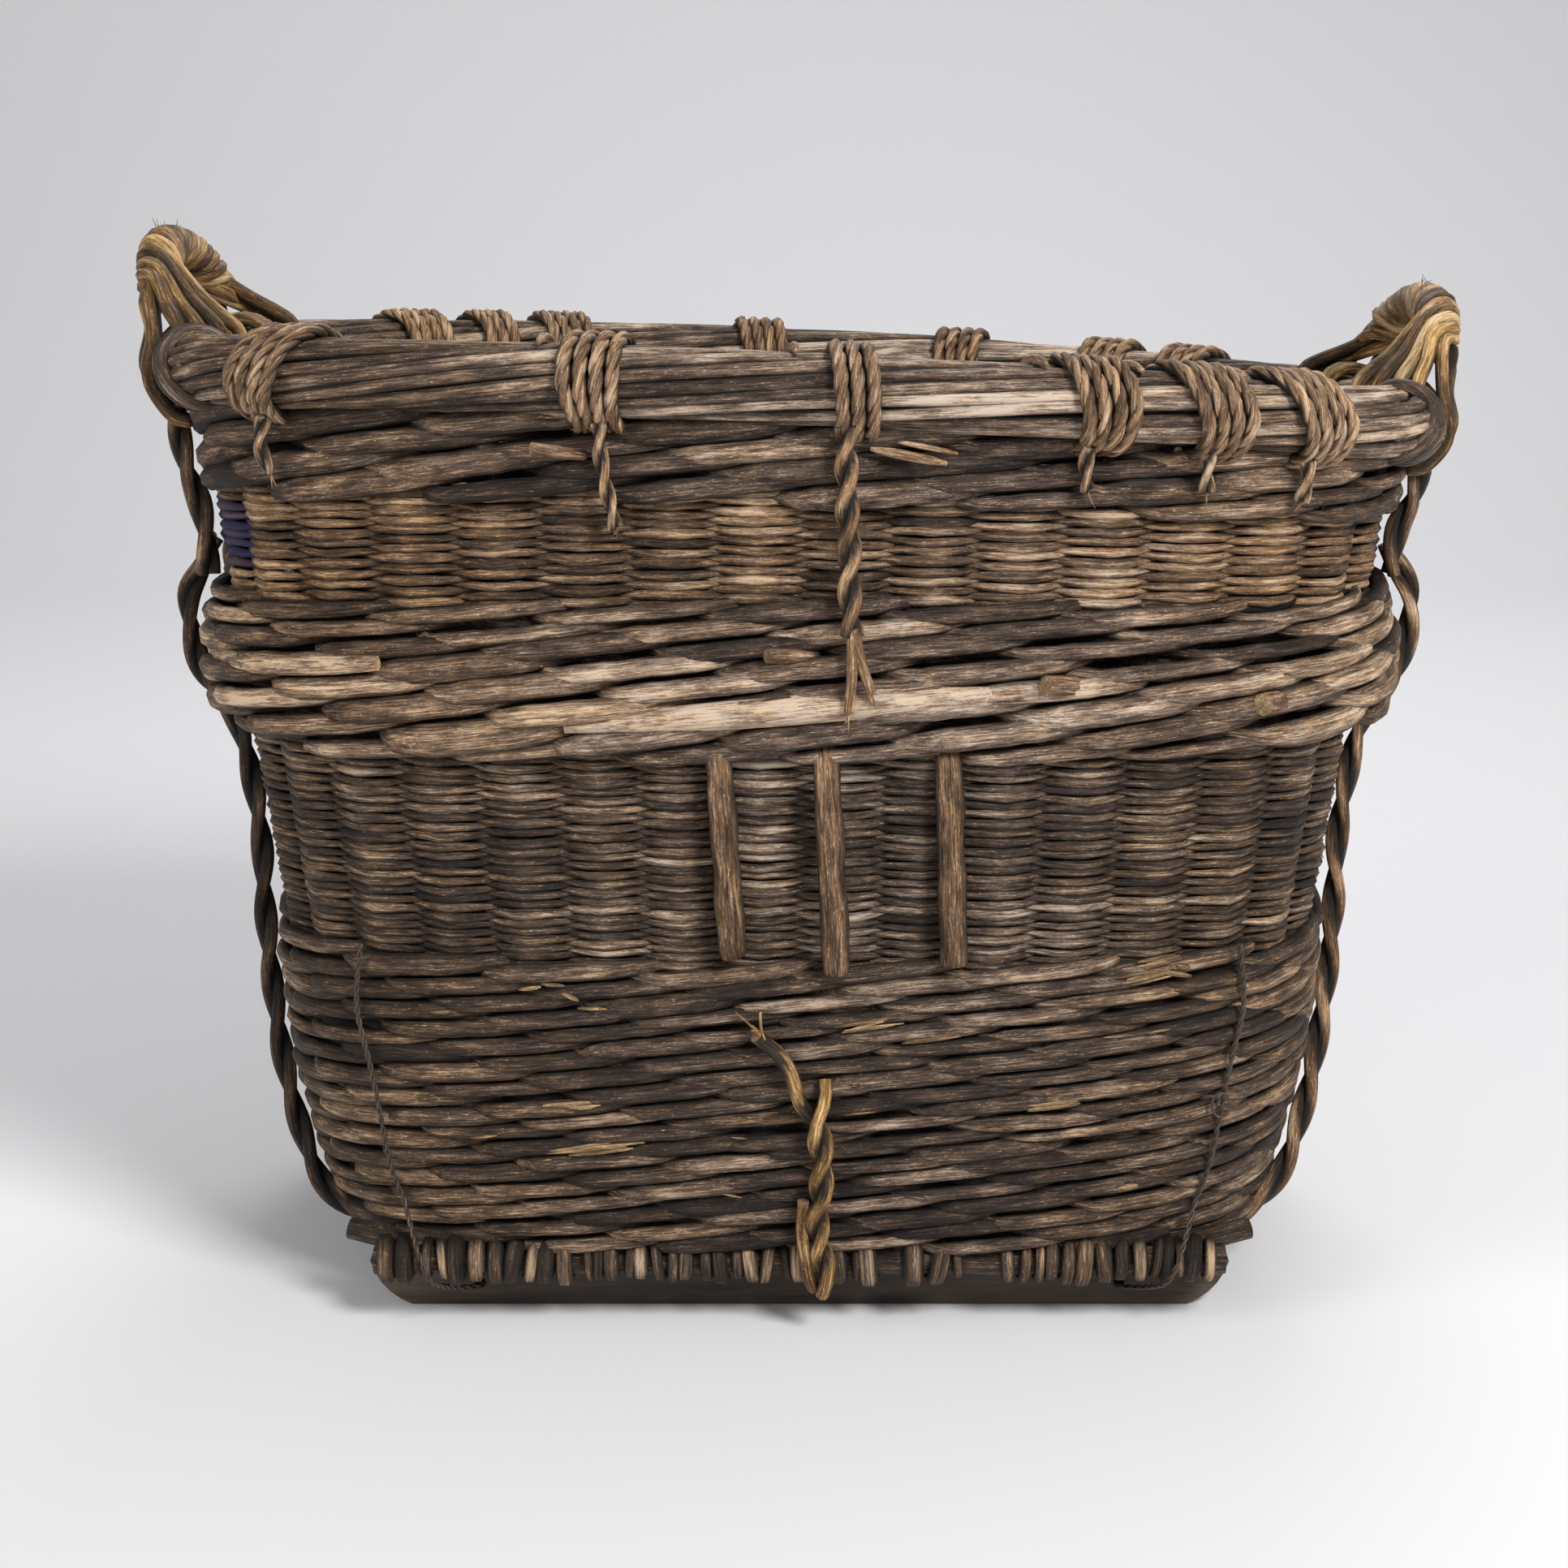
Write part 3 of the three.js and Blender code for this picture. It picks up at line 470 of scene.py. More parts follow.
def ramp(tree, value, stops):
    made = node(tree, "ShaderNodeValToRGB", {"Fac": value})
    band = made.color_ramp
    band.elements[0].position = stops[0][0]
    band.elements[-1].position = stops[-1][0]
    for place, _ in stops[1:-1]:
        band.elements.new(place)
    for element, (_, colour) in zip(band.elements, stops):
        element.color = (*colour, 1.0)
    return made.outputs["Color"]


def mixed(tree, share, a, b, blend="MIX"):
    a, b = ((*colour, 1.0) if isinstance(colour, tuple) else colour for colour in (a, b))
    inputs = {0: share, 6: a, 7: b}
    return node(tree, "ShaderNodeMix", inputs, data_type="RGBA", blend_type=blend).outputs[2]


def relief(tree, height, distance, strength):
    inputs = {"Height": height, "Distance": distance, "Strength": strength}
    return node(tree, "ShaderNodeBump", inputs).outputs["Normal"]


def weathered_willow(name, colours, rough, painted=False):
    """Old willow: long fibres, blotches, ochre where it is rubbed, and black where dirt sits and where
    shade is painted.
    """
    finish, tree, shader = make_finish(name)
    grain = node(tree, "ShaderNodeAttribute", attribute_name="grain").outputs["Vector"]
    looks = node(tree, "ShaderNodeAttribute", attribute_name="looks").outputs["Vector"]
    tone, warmth, dirt_and_shade = node(tree, "ShaderNodeSeparateXYZ", {0: looks}).outputs
    fibre = streaks(tree, grain, (0.4, 8.0, 8.0), 7.0, 0.75)
    fine = streaks(tree, grain, (1.5, 30.0, 30.0), 3.0, 0.6)
    blotch = streaks(tree, grain, (0.35, 1.2, 1.2), 4.0, 0.65)
    patch = streaks(tree, grain, (0.6, 2.6, 2.6), 3.0, 0.6)
    level = tone
    for value, amount in ((fibre, 2.3), (blotch, 1.35), (fine, 0.8)):
        level = maths(tree, "ADD", level, above(tree, value, 0.5, amount, False))
    speck = streaks(tree, grain, (3.5, 18.0, 18.0), 2.0, 0.5)
    scuffs = above(tree, speck, 0.62, 9.0)
    pits = above(tree, 0.34, speck, 9.0)
    level = maths(tree, "ADD", level, above(tree, scuffs, pits, 0.5, False))
    colour = ramp(tree, level, list(zip((0.0, 0.35, 0.6, 0.8, 1.0), colours)))
    share = maths(tree, "ADD", warmth, above(tree, patch, 0.5, 3.5, False), True)
    tint = mixed(tree, share, (0.96, 0.98, 1.06), (1.1, 1.0, 0.84))
    colour = mixed(tree, 1.0, colour, tint, "MULTIPLY")
    if painted:
        paint = node(tree, "ShaderNodeAttribute", attribute_name="paint").outputs["Fac"]
        broken = above(tree, maths(tree, "ADD", paint, fibre), 1.12, 6.0)
        colour = mixed(tree, maths(tree, "MULTIPLY", broken, 0.85), colour, (0.009, 0.014, 0.085))
    # Near black mixed in by the third looks value: dirt, and painted shade in the gaps and on the sides
    # that face away
    dirt_and_shade_amount = maths(tree, "POWER", maths(tree, "MINIMUM", dirt_and_shade, 1.0), 1.3)
    colour = mixed(tree, maths(tree, "MULTIPLY", dirt_and_shade_amount, 0.93), colour, (0.010, 0.008, 0.006))
    gloss = ramp(tree, blotch, [(0.3, (rough - 0.14,) * 3), (0.7, (rough + 0.12,) * 3)])
    height = maths(tree, "ADD", fibre, maths(tree, "MULTIPLY", fine, 0.4))
    inputs = {"Base Color": colour, "Roughness": gloss, "Specular IOR Level": 0.3}
    feed(tree, shader, {**inputs, "Normal": relief(tree, height, 0.0016, 0.8)})
    return finish


# From black grime to rubbed wood, at five levels
DARK = [
    (0.010, 0.006, 0.0042), (0.05, 0.031, 0.0195), (0.13, 0.084, 0.055),
    (0.29, 0.197, 0.125), (0.58, 0.43, 0.29),
]
GREY = [
    (0.012, 0.0072, 0.005), (0.078, 0.049, 0.032), (0.2, 0.134, 0.09),
    (0.41, 0.292, 0.198), (0.72, 0.57, 0.42),
]
WARM = [
    (0.016, 0.009, 0.005), (0.105, 0.061, 0.034), (0.25, 0.152, 0.086),
    (0.46, 0.303, 0.18), (0.74, 0.56, 0.38),
]
GOLD = [
    (0.02, 0.01, 0.004), (0.115, 0.06, 0.02), (0.31, 0.18, 0.066),
    (0.58, 0.375, 0.16), (0.82, 0.61, 0.34),
]
TORN = [
    (0.05, 0.031, 0.015), (0.17, 0.11, 0.056), (0.34, 0.23, 0.12),
    (0.55, 0.4, 0.22), (0.75, 0.6, 0.38),
]

# Slot, colours and roughness of each willow; the warm one can show old paint
WILLOWS = {
    slot: weathered_willow(slot, colours, rough, painted=slot == "willow_warm")
    for slot, colours, rough in (
        ("willow_dark", DARK, 0.62),
        ("willow_grey", GREY, 0.62),
        ("willow_warm", WARM, 0.6),
        ("willow_tie", WARM, 0.56),
        ("willow_gold", GOLD, 0.52),
    )
}
torn_willow = weathered_willow("willow_torn", TORN, 0.7)


def plain_finish(name, base, spots, scale, rough, metal=0.0, worn_ends=False):
    """Board or wire: a base colour with long streaks and spots on it."""
    finish, tree, shader = make_finish(name)
    place = node(tree, "ShaderNodeTexCoord").outputs["Object"]
    streak = streaks(tree, place, scale, 6.0, 0.68)
    patch = noise(tree, place, 34.0, 4.0, 0.6)
    colour = ramp(tree, streak, [(0.3, base), (0.72, spots)])
    colour = mixed(tree, maths(tree, "MULTIPLY", patch, 0.5), colour, tuple(0.45 * c for c in base))
    if worn_ends:
        along = maths(tree, "ABSOLUTE", node(tree, "ShaderNodeSeparateXYZ", {0: place}).outputs[0])
        near_end = above(tree, along, 0.225, 14.0)
        rubbed = above(tree, streak, 0.4, 3.5)
        colour = mixed(tree, maths(tree, "MULTIPLY", near_end, rubbed), colour, spots)
    inputs = {"Base Color": colour, "Roughness": rough, "Metallic": metal}
    feed(tree, shader, {**inputs, "Normal": relief(tree, streak, 0.0015, 0.6)})
    return finish


EVEN_GRAIN = (160.0, 160.0, 160.0)
BOARD_GRAIN = (6.0, 70.0, 70.0)
RUST_SPOTS = (60.0, 60.0, 60.0)
cut_wood = plain_finish("cut_willow_end", (0.30, 0.19, 0.11), (0.16, 0.10, 0.06), EVEN_GRAIN, 0.8)
runner_wood = plain_finish(
    "runner_board", (0.032, 0.023, 0.017), (0.15, 0.11, 0.078), BOARD_GRAIN, 0.75, worn_ends=True
)
iron_wire = plain_finish("iron_wire", (0.07, 0.06, 0.052), (0.13, 0.08, 0.05), RUST_SPOTS, 0.45, 0.6)


# The stakes


def add_stakes():
    stakes = []
    for s in range(STAKES):
        z = np.arange(FOOT_Z - 12, RIM_Z + 20, 12.0)
        points = wall(s + 0 * z, z, drift(z, 0.6))
        stakes.append(rod(points, 4.6 * rng.uniform(0.9, 1.1), 0.35, 0.3, 0.45))
    laid("upright_stakes", stakes, "willow_dark")


# Fine bands: thin rods in front of one stake and behind the next


def fine_band(z_low, z_high, radius, proud, tone, warmth, painted=()):
    """Rows of one rod each between two heights; painted gives the stretches with old blue paint."""
    rods = []
    # Three draws, so that those after them stay the same; the sag takes the first two
    shared = rng.uniform(0, 2 * np.pi, 3)
    middle = (z_low + z_high) / 2
    up = 0.0
    row = 0
    tallest = (z_high - z_low) * stretch(np.arange(STAKES), middle).max()
    while up < tallest:
        thickness = radius * rng.uniform(0.88, 1.14)
        cuts = np.sort(rng.integers(0, STAKES // 2, 2)) * 2 + 1 - row % 2
        for first, last in ((cuts[0], cuts[1]), (cuts[1], cuts[0] + STAKES)):
            round_s = np.arange(first * PER_STAKE, last * PER_STAKE + 1) / PER_STAKE
            z_row = z_low + up / stretch(round_s, middle)
            fits = np.flatnonzero(z_row < z_high)
            for part in np.split(fits, np.flatnonzero(np.diff(fits) > 1) + 1):
                if len(part) < 2 * PER_STAKE:
                    continue
                s, z = round_s[part], z_row[part]
                wave = np.cos(np.pi * (s - row))
                peak = 1 - 2 * np.abs(((s - row + 0.5) % 1) - 0.5)
                swing = np.sign(wave) * lerp(np.abs(wave) ** 0.8, peak, 0.6)
                share = np.sin(np.pi * np.clip((z - z_low) / (z_high - z_low), 0, 1))
                sag = 1.3 * np.sin(4 * np.pi * s / STAKES + shared[0])
                sag += 0.7 * np.sin(10 * np.pi * s / STAKES + shared[1])
                paint = 0.0 * s
                for low, high in painted:
                    paint += np.clip(np.minimum(s % STAKES - low, high - s % STAKES) + 0.3, 0, 1)
                paint *= share * np.clip(1 + 3 * swing, 0, 1)
                z = z + sag * share + rng.normal(0, 0.2, len(s)) + np.abs(wave) * per_stroke(s, row, 2, 0.5)
                girth = thickness * tapered(len(s)) * (1.08 - 0.46 * (1 - np.abs(swing)))
                points = wall(s, z, (proud + per_stroke(s, row, 2, 0.5)) * swing)
                paler, warmer = weather(s, z)
                paleness = tone + paler + rng.normal(0, 0.09) + per_stroke(s, row, 2, 0.11)
                ochre = np.clip(warmth + warmer + rng.normal(0, 0.15), 0, 1)
                rods.append(rod(points, girth, paleness, ochre, 0.12, swing, outward(s), paint))
        up += 0.88 * thickness
        row += 1
    return rods


# Wales: rounds of two rods, each in front of two stakes and then behind two.
# A rod comes out low, over the end of the stroke before it, and rises to go in under the next.
# Its depth is 1 in front and -1 behind, at these phases of a stroke, counted in stakes:
PHASES = [0.0, 0.3, 1.0, 1.6, 2.0, 2.3, 2.7, 3.3, 3.7, 4.0]
DEPTHS = [0.7, 1.0, 1.0, 0.8, 0.3, -0.5, -1.0, -1.0, -0.3, 0.7]
WALE_BACK = -12.0
LOWER_ROUNDS = 20

# The rounds of the bulging wale: height over the waist, pitch, radius, front, tone and swell
BELLY_ROUNDS = [
    (3.5, 10.0, 4.8, 20.5, 0.26, 0.0),
    (16.0, 15.0, 7.8, 28.5, 0.5, 4.0),
    (30.5, 14.0, 7.2, 29.5, 0.48, 6.0),
    (44.0, 12.5, 6.6, 29.0, 0.44, 6.0),
    (56.5, 12.0, 6.2, 27.0, 0.42, 5.0),
    (68.0, 11.0, 5.8, 24.5, 0.4, 4.0),
    (78.5, 10.0, 5.5, 22.0, 0.38, 3.0),
    (88.0, 9.0, 5.0, 19.0, 0.36, 1.0),
]


def wale_round(z_middle, pitch, radius, front, tone, warmth, step, swell=0.0, steep=0.8):
    """One round of two rods; step sets it off against the round below it."""
    rods = []
    round_trip = np.arange(0, STAKES * PER_STAKE + 1) / PER_STAKE
    waver = drift(round_trip, 0.08 * pitch)
    # Twice round the wall is a whole number of crossings, so both rods of a round lie on one double turn
    cuts = np.sort(rng.choice(STAKES // 2, 4, replace=False)) * 4 + step + 2.5
    for first, last in zip(cuts, [*cuts[1:], cuts[0] + 2 * STAKES]):
        s = np.arange(round(first * PER_STAKE), round(last * PER_STAKE) + 1) / PER_STAKE
        phase = (s - step + 0.5) % 4
        swing = np.interp(phase, PHASES, DEPTHS)
        rise = np.where(phase <= 2.1, phase / 1.05 - 1, 1 - (phase - 2.1) / 0.95)
        seen = np.clip(swing, 0, 1)
        bulge = np.interp(phase, [0, 0.35, 1.5, 2.1, 4], [0.74, 1, 0.98, 0.72, 0.74])
        thickness = radius * tapered(len(s)) * bulge * (1 + seen * per_stroke(s, step, 4, 0.11))
        thickness = thickness * rng.uniform(0.9, 1.08)
        thickness = thickness * stretch(s, z_middle) ** 0.8
        z = z_middle + steep * pitch / 2 * rise + np.interp(s % STAKES, round_trip, waver)
        z = z + seen * per_stroke(s, step, 4, 0.09 * pitch) + rng.normal(0, 0.03 * radius, len(s))
        out = lerp(WALE_BACK + thickness, front - thickness, (1 + swing) / 2)
        out = out + seen * per_stroke(s, step, 4, 0.5)
        points = wall(s, z, out, swell * (1 + swing) / 2)
        paler, warmer = weather(s, z_middle)
        paleness = tone + paler + rng.normal(0, 0.08) + per_stroke(s, step, 4, 0.14)
        ochre = np.clip(warmth + warmer + per_stroke(s, step, 4, 0.2), 0, 1)
        paleness = np.minimum(paleness, tone + 0.24)
        rods.append(rod(points, thickness, paleness, ochre, 0.0, swing, outward(s)))
    return rods


def add_wall():
    lower = []
    pitch = (SHOULDER_Z - FOOT_Z + 3) / LOWER_ROUNDS
    for i in range(LOWER_ROUNDS):
        z = FOOT_Z - 3 + pitch * (i + 0.5)
        lower += wale_round(z, pitch, 5.8, 15.5, 0.3 + 0.07 * (i > 15), 0.45, 1.37 * i)
    laid("lower_wale_rods", lower, "willow_dark", "lower_wale", sides=8)

    # The third rod of each round stays close to the stakes, behind the two that show
    hidden = fine_band(FOOT_Z - 2, SHOULDER_Z - 2, 5.4, 3.0, 0.2, 0.4)
    laid("lower_wale_inner_rods", hidden, "willow_dark")

    middle = fine_band(SHOULDER_Z - 3, WAIST_Z + 3, 3.25, 6.4, 0.33, 0.5)
    laid("middle_weave_rods", middle, "willow_grey", "middle_weave")

    belly = []
    for i, (up, pitch, radius, front, tone, swell) in enumerate(BELLY_ROUNDS):
        belly += wale_round(WAIST_Z + up, pitch, 1.13 * radius, front, tone, 0.5, 1.3 * i, swell, 0.85)
    belly += fine_band(WAIST_Z + 2, NECK_Z - 1, 5.0, 3.6, 0.2, 0.5)
    laid("middle_wale_rods", belly, "willow_grey", "middle_wale", sides=8)

    upper = fine_band(NECK_Z - 3, COLLAR_Z + 4, 3.3, 6.4, 0.43, 0.6, [(21.0, 25.2), (38.6, 41.0)])
    laid("upper_weave_rods", upper, "willow_warm", "upper_weave")

    collar = []
    for i, up in enumerate((4.0, 13.5, 23.0, 33.0)):
        collar += wale_round(COLLAR_Z + up, 11.0, 6.3, 17.5, 0.28, 0.5, 1.3 * i, 0.0, 0.85)
    laid("upper_wale_rods", collar, "willow_grey", "upper_wale", sides=8)


# The border roll: four bundles of rods, whose ends show where they meet at the corners


def bundle(first, last, size, step_back, tone):
    """Fourteen rods that lie almost straight along the border, with rounded ends."""
    rods = []
    strands = 14
    ring_out = size * (BORDER_THICKNESS / 2 - 4.2)
    ring_up = size * (BORDER_HEIGHT / 2 - 4.4)
    lay = 0.3
    for j in range(strands):
        low = 2 * np.pi * j / strands
        begin = first + rng.uniform(0, 0.12)
        end = last - step_back * np.sin(low + lay * (last - first)) + rng.uniform(-0.06, 0.06)
        along = np.arange(begin + 0.22, end - 0.2, 0.2)
        s = np.r_[begin, begin + 0.04, begin + 0.1, along, end - 0.1, end - 0.04, end]
        to_tip = np.minimum(s - begin, end - s)
        waver = ripple(s * rng.uniform(0.3, 0.7), 0.08) + 0.04 * np.sin(s * rng.uniform(1.0, 1.6))
        angle = low + lay * (s - first) + 0.8 * (1 - np.exp((first - s) / 2.5)) + waver
        depth = 1 + ripple(s * rng.uniform(0.5, 1.1), 0.035)
        radius = 4.4 * rng.uniform(0.9, 1.12) * (1 + ripple(s * rng.uniform(0.2, 0.5), 0.08))
        radius = radius * np.interp(to_tip, [0, 0.04, 0.1], [0.55, 0.88, 1.0])
        points = border_point(s, ring_out * np.cos(angle) * depth, ring_up * np.sin(angle) * depth)
        paler, warmer = weather(s, BORDER_Z + 9 * j)
        paleness = tone + 0.012 * (s - first) + paler + rng.normal(0, 0.17)
        paleness = paleness + 0.1 * np.sin(s * rng.uniform(0.8, 1.5))
        ochre = np.clip(0.35 + 0.7 * warmer + rng.normal(0, 0.15), 0, 1)
        facing = at_angle(outward(s), np.array([0, 0, 1]), angle)
        rods.append(rod(points, radius, paleness, ochre, 0.0, facing=facing))
    return rods


def add_border():
    # The back bundle has a darker tone: painted shade for the shadowed inside of the back border
    rods = bundle(23.9, 38.9, 1.0, 0.45, 0.4) + bundle(2.9, 18.2, 1.0, 0.3, 0.22)
    rods += bundle(17.4, 24.6, 0.9, 0.0, 0.42) + bundle(38.1, 45.4, 0.9, 0.0, 0.42)
    s = np.arange(0, STAKES * 5 + 6) / 5
    core = rod(border_point(s, 0, 0), 15.5, 0.25, 0.3, 0.6)
    laid("border_roll", rods + [core], "willow_grey", "rim_border", sides=8)


# Lashings of twisted willow round the border


def winding(s_middle, turns, reach, lean=0.0, pinch=0.0):
    """A path that winds round the border; lean slants it, pinch draws its turns together below."""
    step = PLAN_LENGTHS[-1] / STAKES
    t = np.linspace(0, turns, 20 * turns + 1)
    angle = -np.pi / 2 - 2 * np.pi * t
    close = 1 - pinch * np.clip(-np.sin(angle), 0, 1)
    along = ((t - turns / 2) * LASHING_PITCH * close + lean * np.sin(angle)) / step
    return round_border(s_middle + along, angle, reach, reach)


def frayed(root, way, count, length, spread, radius, tone=0.62, warmth=0.7):
    """Thin torn fibres that fan out from the end of a tie."""
    way = np.array(way, float) / np.linalg.norm(way)
    fibres = []
    for _ in range(count):
        bend = rng.normal(0, spread, 3)
        t = np.linspace(0, 1, 6)[:, None]
        line = np.array(root) + way * t * length * rng.uniform(0.6, 1.1) + bend * t**1.6 * length
        fibres.append(rod(line, radius * (1 - 0.7 * t[:, 0]), tone, warmth, 0.0))
    return fibres


def down_front(line):
    """A path down the front of the basket through the places (x, z, proud)."""
    return smooth_path(lifted([side_point(x, z, proud, -1) for x, z, proud in line]), 3.2)


def hanging(line, strand_radius, lay, tone, warmth):
    """Two strands twisted together that hang down the front."""
    path = down_front(line)
    return twisted(path, 2, strand_radius, 0.82 * strand_radius, lay, tone, warmth, 0.05), path


def add_lashings():
    slants = [(9.0, 0.45), (1.0, 0.25), (0.0, 0.1), (-1.0, 0.3), (-3.0, 0.3), (-5.0, 0.35)]
    shifts = [7, 0, 0, -3, -7, -7]
    tails = {
        0: [(-314, RIM_Z - 2, 26), (-318, RIM_Z - 14, 25), (-313, COLLAR_Z + 8, 22)],
        1: [(-117, RIM_Z - 1, 26), (-115, COLLAR_Z + 14, 24), (-108, COLLAR_Z - 14, 19)],
        3: [(166, RIM_Z - 2, 26), (164, RIM_Z - 13, 25), (166, RIM_Z - 24, 22)],
        4: [(236, RIM_Z - 2, 26), (235, RIM_Z - 13, 25), (236, RIM_Z - 22, 22)],
        5: [(296, RIM_Z - 2, 26), (296, RIM_Z - 14, 25), (294, RIM_Z - 25, 22)],
    }
    for (place, side), lashings in zip(SIDES, (FRONT_LASHINGS, BACK_LASHINGS)):
        at_front = side < 0
        for i, (x, turns) in enumerate(lashings):
            lean, pinch = slants[i] if at_front else (rng.uniform(-3, 3), 0.15)
            shift = shifts[i] if at_front else 0
            path = even_steps(winding(stake_at(x + shift, side), turns, 3.9, lean, pinch), 3.4)
            warmth = 0.4 if at_front else rng.uniform(0.3, 0.95)
            middle = border_point(np.linspace(-1, 1, 81) + stake_at(x, side), 0, 0)
            # Painted shade: each strand is darkened on its side towards the middle of the border
            away = path - middle[np.argmin(np.linalg.norm(path[:, None] - middle[None], axis=2), axis=1)]
            strands = twisted(path, 3, 2.9, 1.8, 36.0, 0.52, warmth, 0.0, rng.uniform(0, 6), unit(away))
            if at_front and i in tails:
                end, line = hanging(tails[i], 2.7, 44.0, 0.58, 0.5)
                strands += end + frayed(line[-1], line[-1] - line[-3], 3, 9, 0.22, 0.7)
            node_name = f"rim_lashing_{place}_{i + 1}"
            laid(f"{place}_lashing_{i + 1}", strands, "willow_tie", node_name)

    # Short loops over the top of the border, beside the lashings
    loops = []
    for x in (-150, -6, 134, 188, 249):
        t = np.linspace(0, 1, 14)
        angle = np.radians(lerp(188, 62, t))
        along = stake_at(x, -1) + 0.12 * (t - 0.5)
        points = round_border(along, angle, 1.5, 2.4)
        loops.append(rod(points, 3.6 - 2.4 * np.abs(2 * t - 1) ** 4, 0.6, 0.35, 0.05))
    laid("border_loops", loops, "willow_tie", sides=8)


# Handles


def handle_path(end):
    """The bow between its feet, before the rim is put out of true."""
    a, b = RIM[0] / 2 + BORDER_OVERHANG, RIM[1] / 2 + BORDER_OVERHANG
    foot_x = beside(HANDLE_SPAN / 2, b, a) + 18
    top_x = a + 31
    turn = np.pi * np.linspace(0.13, 0.87, 71)
    x = lerp(foot_x, top_x, np.sin(turn) ** 2)
    top_z = BORDER_Z + BORDER_HEIGHT / 2 + HANDLE_RISE - HANDLE_THICKNESS / 2
    height = lerp(BORDER_Z, top_z, np.sin(turn) ** 0.8)
    return np.c_[end * x, -HANDLE_SPAN / 2 * np.cos(turn), height]


def foot_of(start, end, side, place, count, inward):
    """Where a strand of the handle goes from the bow: inside the border, or down its outside."""
    spread = side * 7.6 * (place - (count - 1) / 2)
    y = side * HANDLE_SPAN / 2 + spread
    top = BORDER_Z + BORDER_HEIGHT / 2
    if inward:
        reach = 349 + 10.5 * place
        begin_x, begin_z = abs(start[0]), start[2]
        route = [
            (lerp(begin_x, reach, 0.5), lerp(start[1], y, 0.7), lerp(begin_z, top + 4, 0.6)),
            (lerp(begin_x, reach, 0.82), y + side, lerp(begin_z, top + 4, 0.9)),
            (reach + 1, y + 2 * side, top + 1),
            (reach - 2, y + 3 * side, top - 8),
            (reach - 4, y + 3 * side, BORDER_Z - 3),
        ]
    else:
        apart = 2.4 * (place - (count - 1) / 2)
        route = [
            (401 - apart, y, BORDER_Z + 19),
            (405 - apart, y, BORDER_Z + 1),
            (401, y + side, BORDER_Z - 13),
            (389, y + 2 * side, RIM_Z - 7),
            (378, y + 2 * side, RIM_Z - 10),
        ]
    return [start] + [np.array([end * x, yy, z]) for x, yy, z in route]


def add_handles():
    # Four strands of each handle go over the border to its inside, the others down its outside
    inner = 4
    for (name, end), tone in zip(ENDS, (0.36, 0.38)):
        bow = even_steps(handle_path(end), 5.0)
        across, beyond = sections(bow)
        run = lengths_along(bow)
        lines = []
        for j in range(HANDLE_STRANDS):
            angle = 2 * np.pi * (j / HANDLE_STRANDS + run / (HANDLE_LAY * end))
            lines.append(bow + HANDLE_RING * at_angle(across, beyond, angle))
        feet = {}
        for side, at in ((-1, 2), (1, -3)):
            order = sorted(range(HANDLE_STRANDS), key=lambda j: end * lines[j][at][0])
            groups = ((order[:inner], True), (order[inner:], False))
            for group, inward in groups:
                group = sorted(group, key=lambda j: side * lines[j][at][1])
                for place, j in enumerate(group):
                    begin = at - side * (2 * (len(group) - place) - 1) if inward else at
                    foot = foot_of(lines[j][begin], end, side, place, len(group), inward)
                    feet[side, j] = foot, abs(begin)
        rope = []
        for j in range(HANDLE_STRANDS):
            (front_foot, front_at), (back_foot, back_at) = feet[-1, j], feet[1, j]
            points = front_foot[::-1] + list(lines[j][front_at + 3 : -back_at - 2 : 3]) + back_foot
            path = smooth_path(lifted(points), 4.0)
            share = np.linspace(0, 1, len(path))
            nearest = np.argmin(np.linalg.norm(path[:, None] - lifted(bow)[None], axis=2), axis=1)
            facing = unit(path - lifted(bow)[nearest])
            thinned = 1 - 0.22 * np.exp(-len(path) * np.minimum(share, 1 - share) / 3)
            thickness = 4.7 * rng.uniform(0.92, 1.08) * thinned
            paleness = tone + rng.normal(0, 0.12) + ripple(9 * share, 0.14)
            ochre = 0.6 + rng.normal(0, 0.2) + ripple(7 * share, 0.3)
            rope.append(rod(path, thickness, paleness, np.clip(ochre, 0, 1), -0.22, facing=facing))
        core = rod(lifted(bow)[6:-6], 7.5, 0.15, 0.3, 0.85)
        crown = lifted(bow)[len(bow) // 2] + np.array([0, 0, 12.5])
        hairs = []
        for _ in range(7):
            root = crown + np.array([end * rng.uniform(-6, 4), rng.uniform(-25, 18), -1.5])
            way = (rng.normal(0, 0.5), rng.normal(0, 0.6), 1)
            hairs += frayed(root, way, 1, rng.uniform(5, 10), 0.3, 0.4, 0.2, 0.2)
        rope += [core] + hairs
        laid(f"{name}_handle_rope", rope, "willow_gold", f"handle_{name}", sides=8)

        for place, side in SIDES:
            wrap = [rod(winding(stake_at(side * 82.0, end, 1), 3, 4.2), 4.2, 0.48, 0.5, 0.1)]
            node_name = f"handle_wrap_{name}_{place}"
            laid(node_name + "_rods", wrap, "willow_gold", node_name, sides=8)

        # Grey rods that hook over the corners outside the feet
        hooks = []
        for side in (-1, 1):
            middle = stake_at(side * 156.0, end, 1)
            for k in range(4):
                t = np.linspace(0, 1, 30)
                angle = np.radians(lerp(172, -128, t))
                along = middle + end * side * (0.18 * (k - 1.5) - 0.4 * np.sin(angle))
                proud = rng.uniform(-0.6, 1.6)
                thickness = rng.uniform(3.6, 4.8) * (1 + ripple(9 * t, 0.08))
                points = round_border(along, angle, proud, proud)
                hooks.append(rod(points, thickness, rng.uniform(0.2, 0.5), 0.3, 0.1))
        laid(f"{name}_corner_hooks", hooks, "willow_grey", sides=8)


# Ropes on the ends


